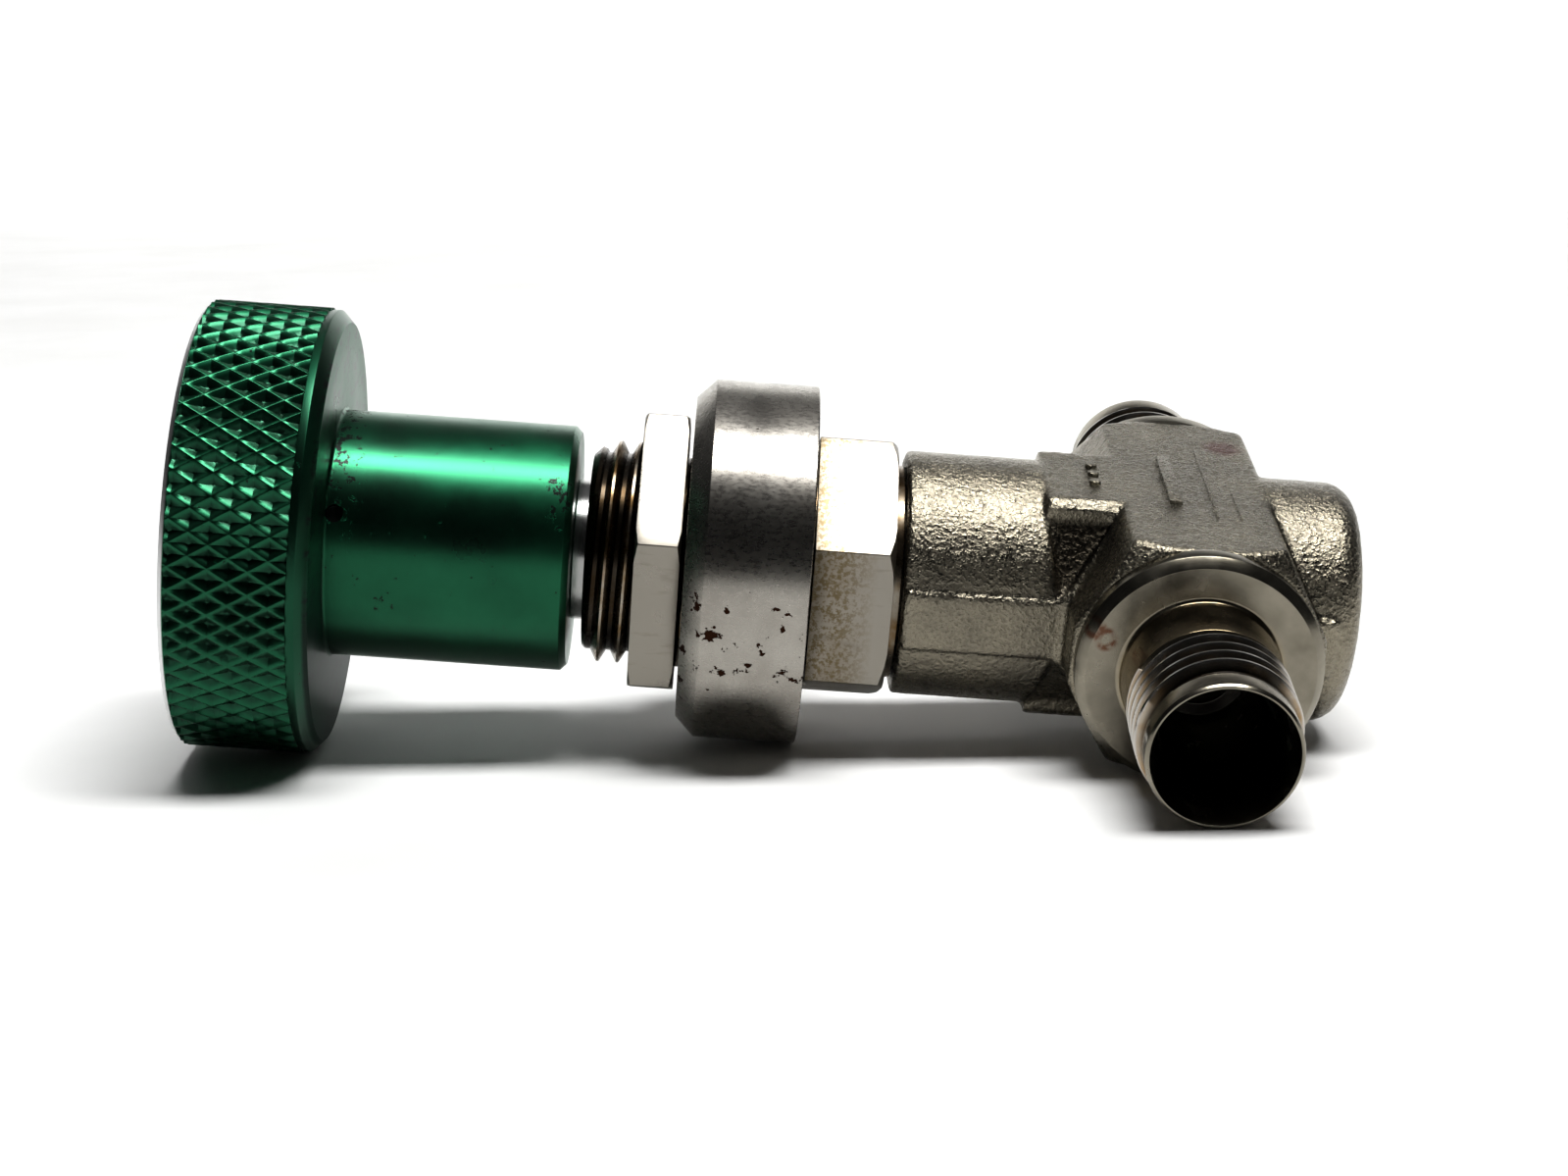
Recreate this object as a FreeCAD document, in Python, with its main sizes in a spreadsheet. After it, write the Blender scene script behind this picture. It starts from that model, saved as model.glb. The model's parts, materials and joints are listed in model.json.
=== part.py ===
"""Bellows-sealed flow control valve with a quarter-inch straight body, as a FreeCAD macro.

Millimetres. The stem axis is X with the knob at -X, the line through the two tube ports is Y, and
the origin is where they cross. The valve is shown closed: opening it turns the knob
counterclockwise and carries the stem towards -X.

Turned pieces are revolved from profiles of (distance along X, radius) pairs, each pair bound to
the sheet. Threads are cylinders at their outside diameter, with undercuts where a tool needs them.
"""
import os
import re

import FreeCAD
import Part
import Sketcher

SIZES = {
    # knob: knurled disc and hub turned from one bar
    "knob_front": -70.0,
    "disc_length": 9.9,
    "disc_radius": 15.875,
    "disc_front_chamfer": 0.35,
    "disc_back_chamfer": 0.8,
    "hub_length": 16.85,
    "hub_radius": 8.75,
    "hub_chamfer": 0.45,
    "knob_bore_depth": 7.3,
    "knob_face_recess": 0.5,
    "knob_face_recess_radius": 12.6,
    # grooved pin through the hub and the spindle
    "pin_from_front": 10.55,
    "pin_radius": 0.6,
    "pin_length": 16.4,
    "pin_tilt": 31.0,
    # actuator stem: spindle in the knob, polished shaft, drive thread, socket for the lower stem
    "spindle_start": 7.5,
    "spindle_radius": 3.98,
    "shaft_radius": 5.0,
    "shaft_length": 3.95,
    "drive_radius": 3.9,
    "drive_length": 11.8,
    "socket_radius": 2.3,
    "socket_depth": 5.1,
    "socket_groove_radius": 2.85,
    "socket_groove_near": 1.25,
    "socket_groove_far": 2.15,
    "stop_groove_radius": 3.55,
    "stop_groove_near": 0.38,
    "stop_groove_far": 0.92,
    "stop_ring_radius": 4.35,
    # fits, and how far a cross drill runs past the metal
    "running_gap": 0.05,
    "seat_gap": 0.02,
    "drill_runout": 2.0,
    # drive nut: bronze sleeve pressed in the bonnet, with the wiper groove in its mouth
    "drive_nut_start": -42.0,
    "drive_nut_length": 11.0,
    "drive_nut_radius": 6.5,
    "drive_nut_throat": 3.0,
    "wiper_groove_start": 0.9,
    "wiper_groove_length": 1.1,
    "wiper_station": -40.55,
    "wiper_radius": 0.45,
    "wiper_mean_radius": 5.52,
    "wiper_groove_radius": 6.0,
    # bonnet: panel thread, hexagon and spigot
    "bonnet_start": -26.4,
    "panel_thread_radius": 7.9375,
    "panel_thread_length": 15.85,
    "panel_thread_lead": 1.1,
    "bonnet_hex_flats": 17.2,
    "bonnet_hex_length": 5.6,
    "bonnet_trim_radius": 9.1,
    "bonnet_neck_length": 0.6,
    "bonnet_neck_radius": 7.6,
    "spigot_radius": 6.55,
    "spigot_length": 6.18,
    "nut_bore_end": -31.0,
    "coupling_bore_radius": 4.6,
    "coupling_bore_end": -22.5,
    "bush_bore_radius": 4.02,
    "bush_bore_end": -16.5,
    "bush_flange_bore_radius": 5.02,
    "keyway_half_width": 0.7,
    "keyway_radius": 5.5,
    # nut and ring that clamp the panel
    "nut_start": -38.75,
    "nut_length": 3.15,
    "nut_flats": 19.05,
    "nut_trim_radius": 10.1,
    "nut_turn": 4.2,
    "trim_depth": 0.9,
    "trim_rise": 1.56,
    "ring_start": -35.25,
    "ring_length": 8.6,
    "ring_radius": 12.8,
    "ring_chamfer": 1.35,
    # guide bush of the lower stem
    "bush_start": -22.45,
    "bush_length": 5.95,
    "bush_radius": 4.0,
    "bush_flange_length": 1.4,
    "bush_flange_radius": 5.0,
    # lower stem, which slides without turning
    "lower_stem_start": -30.2,
    "button_radius": 2.25,
    "button_length": 0.5,
    "clip_groove_radius": 1.7,
    "clip_groove_length": 0.9,
    "head_start": -27.2,
    "head_length": 2.6,
    "head_radius": 3.8,
    "rod_radius": 2.5,
    "rod_end": -3.2,
    "cross_pin_station": -25.9,
    "cross_pin_radius": 0.6,
    "cross_pin_length": 10.2,
    "clip_start": -29.6,
    "clip_length": 0.75,
    "clip_radius": 2.8,
    "clip_gap_half": 0.8,
    "ball_station": -31.39,
    "ball_radius": 1.18,
    "tip_shank_radius": 1.2,
    "tip_shank_length": 2.4,
    "tip_collar_length": 0.6,
    "tip_radius": 1.55,
    "tip_end_radius": 0.75,
    "tip_reach": 3.0,
    # bellows pack
    "gasket_start": -13.4,
    "flange_start": -14.0,
    "gasket_length": 0.4,
    "gasket_inner_radius": 5.4,
    "gasket_outer_radius": 6.5,
    "flange_length": 0.6,
    "flange_inner_radius": 2.9,
    "bellows_outer_radius": 4.6,
    "bellows_inner_radius": 3.3,
    "bellows_wall": 0.4,
    "bellows_start": -13.4,
    "bellows_pitch": 0.8,
    "bellows_half_pitch": 0.4,
    "bellows_span": 8.0,
    "bellows_folds": 11,
    "end_ring_start": -4.6,
    "end_ring_length": 1.0,
    "end_ring_radius": 4.4,
    # rubber ring under the bonnet hexagon
    "bonnet_ring_station": -19.55,
    "bonnet_ring_radius": 0.45,
    "bonnet_ring_mean_radius": 6.12,
    "bonnet_ring_groove_radius": 5.6,
    "bonnet_ring_groove_start": 0.1,
    "bonnet_ring_groove_end": 1.2,
    # forged body
    "neck_start": -20.1,
    "neck_radius": 8.7,
    "neck_chamfer": 0.3,
    "boss_end": 12.0,
    "boss_radius": 8.6,
    "boss_rounding": 2.0,
    "pad_height": 8.34,
    "pad_half_width": 5.15,
    "pad_cut_height": 9.5,
    "arm_start": -10.5,
    "arm_half_width": 5.2,
    "bar_half_width": 8.7,
    "parting_half_height": 2.1,
    "parting_flat": 8.75,
    "bar_half_length": 12.6,
    "bar_turned_radius": 11.5,
    "collar_radius": 8.48,
    "collar_face": 14.38,
    "collar_face_radius": 7.88,
    "port_root_depth": 1.0,
    "port_neck_radius": 5.45,
    "port_thread_start": 18.3,
    "port_thread_radius": 5.556,
    "port_lead_start": 24.6,
    "port_lead_radius": 5.14,
    "port_end": 26.7,
    "mouth_radius": 4.85,
    "mouth_depth": 5.9,
    "tube_radius": 3.25,
    "tube_depth": 13.0,
    "passage_radius": 2.3,
    "passage_depth": 15.5,
    "neck_bore_radius": 6.6,
    "neck_bore_length": 7.1,
    "chamber_radius": 5.2,
    "chamber_end": -2.6,
    "orifice_radius": 1.6,
    "orifice_end": 3.8,
    "drill_radius": 1.9,
    "drill_start": 12.3,
    "inlet_drill_station": 2.3,
    "inlet_drill_depth": 0.0,
    "outlet_drill_station": -5.6,
    "outlet_drill_depth": 4.0,
    # stem travel
    "turn_pitch": 0.635,
    "turns_open": 4.0,
}

doc = FreeCAD.newDocument("flow_control_valve")
sheet = doc.addObject("Spreadsheet::Sheet", "sizes")
for row, (alias, value) in enumerate(SIZES.items(), start=1):
    sheet.set(f"A{row}", alias)
    sheet.set(f"B{row}", str(value))
    sheet.setAlias(f"B{row}", alias)
doc.recompute()


def on_sheet(formula):
    """The formula with each alias in it written as a cell of the sheet."""
    return re.sub(r"[a-z][a-z_]*[a-z]", lambda word: f"sizes.{word.group(0)}", str(formula))


def number(formula):
    """The formula's value, worked out from the sheet's plain numbers."""
    total = 0.0
    for sign, term in re.findall(r"([+-]?)\s*([a-z_0-9.]+)", str(formula)):
        value = SIZES[term] if term in SIZES else float(term)
        total += -value if sign == "-" else value
    return total


def new_body(name, start="0"):
    """An empty body whose origin stands on the stem axis at the given station."""
    body = doc.addObject("PartDesign::Body", name)
    body.Label = name
    if str(start) != "0":
        body.setExpression("Placement.Base.x", on_sheet(start))
    return body


def origin_plane(body, role):
    return next(item for item in body.Origin.OriginFeatures if item.Role == role)


def new_sketch(body, name, role="XY_Plane"):
    sketch = body.newObject("Sketcher::SketchObject", name)
    sketch.AttachmentSupport = [(origin_plane(body, role), "")]
    sketch.MapMode = "FlatFace"
    return sketch


def bind(sketch, kind, edge, point, formula):
    """Hold one coordinate of a sketch point at a formula's value."""
    index = sketch.addConstraint(Sketcher.Constraint(kind, -1, 1, edge, point, number(formula)))
    sketch.setExpression(f"Constraints[{index}]", on_sheet(formula))


def polygon(sketch, points):
    """A closed outline through (across, up) formula pairs; a formula of 0 lies on that axis."""
    places = [FreeCAD.Vector(number(across), number(up), 0) for across, up in points]
    count = len(places)
    for index in range(count):
        sketch.addGeometry(Part.LineSegment(places[index], places[(index + 1) % count]))
    for index in range(count):
        sketch.addConstraint(Sketcher.Constraint("Coincident", index, 2, (index + 1) % count, 1))
    for index, (across, up) in enumerate(points):
        for kind, formula, axis in (("DistanceX", across, -2), ("DistanceY", up, -1)):
            if str(formula) == "0":
                sketch.addConstraint(Sketcher.Constraint("PointOnObject", index, 1, axis))
            else:
                bind(sketch, kind, index, 1, formula)


def revolve(body, name, points, kind="Revolution", about="H_Axis"):
    """Turn a profile about one of its sketch's axes, adding or cutting."""
    sketch = new_sketch(body, name + "_profile")
    polygon(sketch, points)
    feature = body.newObject("PartDesign::" + kind, name)
    feature.Profile = sketch
    feature.ReferenceAxis = (sketch, [about])
    feature.Angle = 360
    body.Tip = feature
    return feature


def turned(name, start, points):
    """A body made by one revolved profile, starting at a station on the stem axis."""
    body = new_body(name, start)
    revolve(body, name + "_turning", points)
    return body


def ring_profile(length, inner, outer):
    return [("0", inner), (length, inner), (length, outer), ("0", outer)]


def pad(body, name, points, role, length, kind="Pad"):
    """A straight block of the given length about an origin plane, added or cut."""
    sketch = new_sketch(body, name + "_outline", role)
    polygon(sketch, points)
    feature = body.newObject("PartDesign::" + kind, name)
    feature.Profile = sketch
    feature.Midplane = True
    feature.setExpression("Length", on_sheet(length))
    body.Tip = feature
    return feature


def rectangle(low_across, high_across, half_up):
    return [(low_across, f"-{half_up}"), (high_across, f"-{half_up}"),
            (high_across, half_up), (low_across, half_up)]


def hexagon(body, name, flats, length):
    """A hexagonal block along X from the body's origin, with a corner pair up and down."""
    sketch = new_sketch(body, name + "_outline", "YZ_Plane")
    corner = number(flats) / 3 ** 0.5
    turn = [FreeCAD.Rotation(FreeCAD.Vector(0, 0, 1), 60 * step + 30) for step in range(6)]
    places = [rotation.multVec(FreeCAD.Vector(corner, 0, 0)) for rotation in turn]
    for index in range(6):
        sketch.addGeometry(Part.LineSegment(places[index], places[(index + 1) % 6]))
    guide = sketch.addGeometry(Part.Circle(FreeCAD.Vector(), FreeCAD.Vector(0, 0, 1), corner), True)
    sketch.addConstraint(Sketcher.Constraint("Coincident", guide, 3, -1, 1))
    for index in range(6):
        sketch.addConstraint(Sketcher.Constraint("Coincident", index, 2, (index + 1) % 6, 1))
        sketch.addConstraint(Sketcher.Constraint("PointOnObject", index, 1, guide))
    for index in range(5):
        sketch.addConstraint(Sketcher.Constraint("Equal", index, index + 1))
    sketch.addConstraint(Sketcher.Constraint("PointOnObject", 1, 1, -2))
    index = sketch.addConstraint(Sketcher.Constraint("Diameter", guide, 2 * corner))
    sketch.setExpression(f"Constraints[{index}]", on_sheet(flats) + " * 2 / sqrt(3)")
    feature = body.newObject("PartDesign::Pad", name)
    feature.Profile = sketch
    feature.setExpression("Length", on_sheet(length))
    body.Tip = feature
    return feature


def across_hole(body, name, kind, station, radius, length, tilt="0"):
    """A cylinder square to the stem axis through the point at a station, added or cut."""
    drill = body.newObject("PartDesign::" + kind, name)
    drill.setExpression("Radius", on_sheet(radius))
    drill.setExpression("Height", on_sheet(length))
    angle = number(tilt)
    axis = FreeCAD.Rotation(FreeCAD.Vector(1, 0, 0), 90 - angle)
    reach = axis.multVec(FreeCAD.Vector(0, 0, number(length) / 2))
    drill.Placement = FreeCAD.Placement(FreeCAD.Vector(number(station), 0, 0) - reach, axis)
    body.Tip = drill
    return drill


def knob():
    """Disc with a shallow face recess, and the long hub behind it."""
    body = turned("knob", "knob_front", [
        ("knob_face_recess", "0"),
        ("knob_face_recess", "knob_face_recess_radius"),
        ("0", "knob_face_recess_radius"),
        ("0", "disc_radius - disc_front_chamfer"),
        ("disc_front_chamfer", "disc_radius"),
        ("disc_length - disc_back_chamfer", "disc_radius"),
        ("disc_length", "disc_radius - disc_back_chamfer"),
        ("disc_length", "hub_radius"),
        ("disc_length + hub_length - hub_chamfer", "hub_radius"),
        ("disc_length + hub_length", "hub_radius - hub_chamfer"),
        ("disc_length + hub_length", "spindle_radius + seat_gap"),
        ("knob_bore_depth", "spindle_radius + seat_gap"),
        ("knob_bore_depth", "0"),
    ])
    across_hole(body, "knob_pin_hole", "SubtractiveCylinder", "pin_from_front",
                "pin_radius + seat_gap", "hub_radius + hub_radius + seat_gap", "pin_tilt")
    return body


def knob_pin():
    body = new_body("knob_pin", "knob_front")
    across_hole(body, "knob_pin_rod", "AdditiveCylinder", "pin_from_front",
                "pin_radius", "pin_length", "pin_tilt")
    return body


def actuator_stem():
    """Spindle in the knob, polished shaft, drive thread, and the socket for the lower stem."""
    start = "knob_front + spindle_start"
    shoulder = "disc_length + hub_length - spindle_start + seat_gap"
    step = shoulder + " + shaft_length"
    end = step + " + drive_length"
    body = turned("actuator_stem", start, [
        ("0", "0"),
        ("0", "spindle_radius"),
        (shoulder, "spindle_radius"),
        (shoulder, "shaft_radius"),
        (step, "shaft_radius"),
        (step, "drive_radius"),
        (end + " - stop_groove_far", "drive_radius"),
        (end + " - stop_groove_far", "stop_groove_radius"),
        (end + " - stop_groove_near", "stop_groove_radius"),
        (end + " - stop_groove_near", "drive_radius"),
        (end, "drive_radius"),
        (end, "socket_radius"),
        (end + " - socket_groove_near", "socket_radius"),
        (end + " - socket_groove_near", "socket_groove_radius"),
        (end + " - socket_groove_far", "socket_groove_radius"),
        (end + " - socket_groove_far", "socket_radius"),
        (end + " - socket_depth", "socket_radius"),
        (end + " - socket_depth", "0"),
    ])
    across_hole(body, "spindle_pin_hole", "SubtractiveCylinder", "pin_from_front - spindle_start",
                "pin_radius + seat_gap", "spindle_radius + spindle_radius + drill_runout", "pin_tilt")
    return body


def stop_ring():
    """Snap ring near the actuator's end; it meets the drive nut when the valve is fully open."""
    actuator_end = "knob_front + disc_length + hub_length + seat_gap + shaft_length + drive_length"
    return turned("stop_ring", actuator_end + " - stop_groove_far + seat_gap", ring_profile(
        "stop_groove_far - stop_groove_near - seat_gap - seat_gap",
        "stop_groove_radius + seat_gap", "stop_ring_radius"))


def drive_nut():
    """Bronze sleeve pressed in the bonnet: wiper groove, shaft throat and drive thread."""
    groove_end = "wiper_groove_start + wiper_groove_length"
    throat = "shaft_radius + running_gap"
    thread = "drive_radius + running_gap"
    return turned("drive_nut", "drive_nut_start", [
        ("0", throat),
        ("wiper_groove_start", throat),
        ("wiper_groove_start", "wiper_groove_radius"),
        (groove_end, "wiper_groove_radius"),
        (groove_end, throat),
        ("drive_nut_throat", throat),
        ("drive_nut_throat", thread),
        ("drive_nut_length", thread),
        ("drive_nut_length", "drive_nut_radius"),
        ("0", "drive_nut_radius"),
    ])


def rubber_ring(name, station, mean_radius, thickness):
    """A rubber ring about the stem axis."""
    torus = doc.addObject("Part::Torus", name)
    torus.Label = name
    torus.setExpression("Radius1", on_sheet(mean_radius))
    torus.setExpression("Radius2", on_sheet(thickness))
    torus.Placement.Rotation = FreeCAD.Rotation(FreeCAD.Vector(0, 1, 0), 90)
    torus.setExpression("Placement.Base.x", on_sheet(station))
    return torus


def trim_corners(body, name, face, inward, radius):
    """Cut a hexagon's six corners back to a cone at one of its end faces."""
    revolve(body, name, [
        (face, radius),
        (face, radius + " + trim_rise"),
        (f"{face} {inward} trim_depth", radius + " + trim_rise"),
    ], kind="Groove")


def bonnet():
    """Hexagon with the panel thread on one side and the body spigot on the other."""
    body = new_body("bonnet", "bonnet_start")
    hexagon(body, "bonnet_hexagon", "bonnet_hex_flats", "bonnet_hex_length")
    trim_corners(body, "bonnet_corners", "bonnet_hex_length", "-", "bonnet_trim_radius")
    revolve(body, "panel_thread", [
        ("0", "0"),
        ("-panel_thread_length", "0"),
        ("-panel_thread_length", "panel_thread_radius - panel_thread_lead"),
        ("-panel_thread_length + panel_thread_lead", "panel_thread_radius"),
        ("0", "panel_thread_radius"),
    ])
    shoulder = "bonnet_hex_length + bonnet_neck_length"
    revolve(body, "spigot", [
        ("bonnet_hex_length", "0"),
        ("bonnet_hex_length", "bonnet_neck_radius"),
        (shoulder, "bonnet_neck_radius"),
        (shoulder, "spigot_radius"),
        (shoulder + " + bonnet_ring_groove_start", "spigot_radius"),
        (shoulder + " + bonnet_ring_groove_start", "bonnet_ring_groove_radius"),
        (shoulder + " + bonnet_ring_groove_end", "bonnet_ring_groove_radius"),
        (shoulder + " + bonnet_ring_groove_end", "spigot_radius"),
        (shoulder + " + spigot_length", "spigot_radius"),
        (shoulder + " + spigot_length", "0"),
    ])
    revolve(body, "stem_bore", [
        ("-panel_thread_length", "0"),
        ("-panel_thread_length", "drive_nut_radius + seat_gap"),
        ("nut_bore_end - bonnet_start", "drive_nut_radius + seat_gap"),
        ("nut_bore_end - bonnet_start", "coupling_bore_radius"),
        ("coupling_bore_end - bonnet_start", "coupling_bore_radius"),
        ("coupling_bore_end - bonnet_start", "bush_bore_radius"),
        ("bush_bore_end - bonnet_start", "bush_bore_radius"),
        ("bush_bore_end - bonnet_start", "bush_flange_bore_radius"),
        (shoulder + " + spigot_length", "bush_flange_bore_radius"),
        (shoulder + " + spigot_length", "0"),
    ], kind="Groove")
    pad(body, "keyway", rectangle("nut_bore_end - bonnet_start", "bush_bore_end - bonnet_start",
                                  "keyway_half_width"),
        "XY_Plane", "keyway_radius + keyway_radius", kind="Pocket")
    return body


def panel_nut():
    body = new_body("panel_nut", "nut_start")
    body.Placement.Rotation = FreeCAD.Rotation(FreeCAD.Vector(1, 0, 0), number("nut_turn"))
    hexagon(body, "nut_hexagon", "nut_flats", "nut_length")
    trim_corners(body, "nut_outer_corners", "0", "+", "nut_trim_radius")
    trim_corners(body, "nut_inner_corners", "nut_length", "-", "nut_trim_radius")
    revolve(body, "nut_thread", [
        ("0", "0"),
        ("0", "panel_thread_radius + running_gap"),
        ("nut_length", "panel_thread_radius + running_gap"),
        ("nut_length", "0"),
    ], kind="Groove")
    return body


def panel_ring():
    """Round ring screwed down to the hexagon; the panel goes between it and the nut."""
    return turned("panel_ring", "ring_start", [
        ("0", "panel_thread_radius + seat_gap"),
        ("0", "ring_radius - ring_chamfer"),
        ("ring_chamfer", "ring_radius"),
        ("ring_length", "ring_radius"),
        ("ring_length", "panel_thread_radius + seat_gap"),
    ])


def guide_bush():
    return turned("guide_bush", "bush_start", [
        ("0", "rod_radius + running_gap"),
        ("0", "bush_radius"),
        ("bush_length", "bush_radius"),
        ("bush_length", "bush_flange_radius"),
        ("bush_length + bush_flange_length", "bush_flange_radius"),
        ("bush_length + bush_flange_length", "rod_radius + running_gap"),
    ])


def lower_stem():
    """Button and clip groove, head with the cross pin hole, and the rod to the needle."""
    head = "head_start - lower_stem_start"
    end = "rod_end - lower_stem_start"
    body = turned("lower_stem", "lower_stem_start", [
        ("0", "0"),
        ("0", "button_radius"),
        ("button_length", "button_radius"),
        ("button_length", "clip_groove_radius"),
        ("button_length + clip_groove_length", "clip_groove_radius"),
        ("button_length + clip_groove_length", "button_radius"),
        (head, "button_radius"),
        (head, "head_radius"),
        (head + " + head_length", "head_radius"),
        (head + " + head_length", "rod_radius"),
        (end, "rod_radius"),
        (end, "tip_shank_radius + seat_gap"),
        (end + " - tip_shank_length - seat_gap", "tip_shank_radius + seat_gap"),
        (end + " - tip_shank_length - seat_gap", "0"),
    ])
    across_hole(body, "cross_pin_hole", "SubtractiveCylinder",
                "cross_pin_station - lower_stem_start", "cross_pin_radius + seat_gap",
                "head_radius + head_radius + drill_runout", "90")
    return body


def anti_turn_pin():
    body = new_body("anti_turn_pin", "cross_pin_station")
    across_hole(body, "anti_turn_rod", "AdditiveCylinder", "0", "cross_pin_radius",
                "cross_pin_length", "90")
    return body


def stem_clip():
    """Open snap ring that ties the lower stem to the actuator and still lets it turn."""
    body = turned("stem_clip", "clip_start", ring_profile(
        "clip_length", "clip_groove_radius + seat_gap", "clip_radius"))
    gap = new_sketch(body, "clip_gap_outline")
    polygon(gap, rectangle("0", "clip_length", "clip_gap_half"))
    cut = body.newObject("PartDesign::Pocket", "clip_gap")
    cut.Profile = gap
    cut.setExpression("Length", on_sheet("clip_radius + drill_runout"))
    body.Tip = cut
    return body


def thrust_ball():
    ball = doc.addObject("Part::Sphere", "thrust_ball")
    ball.Label = "thrust_ball"
    ball.setExpression("Radius", on_sheet("ball_radius"))
    ball.setExpression("Placement.Base.x", on_sheet("ball_station"))
    return ball


def stem_tip():
    """Metering needle: shank in the rod, collar, and the cone that fills the orifice."""
    return turned("stem_tip", "rod_end", [
        ("-tip_shank_length", "0"),
        ("-tip_shank_length", "tip_shank_radius"),
        ("0", "tip_shank_radius"),
        ("0", "tip_radius"),
        ("tip_collar_length", "tip_radius"),
        ("tip_collar_length + tip_reach", "tip_end_radius"),
        ("tip_collar_length + tip_reach", "0"),
    ])


def bellows():
    """Convoluted tube from the clamped flange to the end ring on the stem."""
    body = new_body("bellows", "bellows_start")
    fold = revolve(body, "bellows_fold", [
        ("0", "bellows_inner_radius"),
        ("bellows_half_pitch", "bellows_outer_radius"),
        ("bellows_pitch", "bellows_inner_radius"),
        ("bellows_pitch", "bellows_inner_radius - bellows_wall"),
        ("bellows_half_pitch", "bellows_outer_radius - bellows_wall"),
        ("0", "bellows_inner_radius - bellows_wall"),
    ])
    folds = body.newObject("PartDesign::LinearPattern", "bellows_folds")
    folds.Originals = [fold]
    folds.Direction = (fold.Profile[0], ["H_Axis"])
    folds.setExpression("Length", on_sheet("bellows_span"))
    folds.setExpression("Occurrences", on_sheet("bellows_folds"))
    body.Tip = folds
    return body


def plain_ring(name, start, length, inner, outer):
    return turned(name, start, ring_profile(length, inner, outer))


def mirror_across_stem(body, name, originals):
    """Repeat port features on the other side of the stem axis."""
    mirrored = body.newObject("PartDesign::Mirrored", name)
    mirrored.Originals = originals
    mirrored.MirrorPlane = (origin_plane(body, "XZ_Plane"), [""])
    body.Tip = mirrored


def round_edge(body, name, radius, station, size):
    """Fillet the circular edge of a given radius at a station on the stem axis."""
    doc.recompute()
    base = body.Tip
    names = [
        f"Edge{index}" for index, edge in enumerate(base.Shape.Edges, start=1)
        if isinstance(edge.Curve, Part.Circle) and abs(edge.Curve.Radius - number(radius)) < 1e-4
        and abs(edge.Curve.Center.x - number(station)) < 1e-4
    ]
    fillet = body.newObject("PartDesign::Fillet", name)
    fillet.Base = (base, names)
    fillet.setExpression("Radius", on_sheet(size))
    body.Tip = fillet


def drill(body, name, side, station, depth):
    """Slanted passage from a port's passage to a point beside the stem axis."""
    start = FreeCAD.Vector(0, side * number("drill_start"), 0)
    end = FreeCAD.Vector(number(station), side * number(depth), 0)
    hole = body.newObject("PartDesign::SubtractiveCylinder", name)
    hole.setExpression("Radius", on_sheet("drill_radius"))
    hole.Height = (end - start).Length
    turn = FreeCAD.Rotation(FreeCAD.Vector(0, 0, 1), end - start)
    hole.Placement = FreeCAD.Placement(start, turn)
    body.Tip = hole


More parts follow.
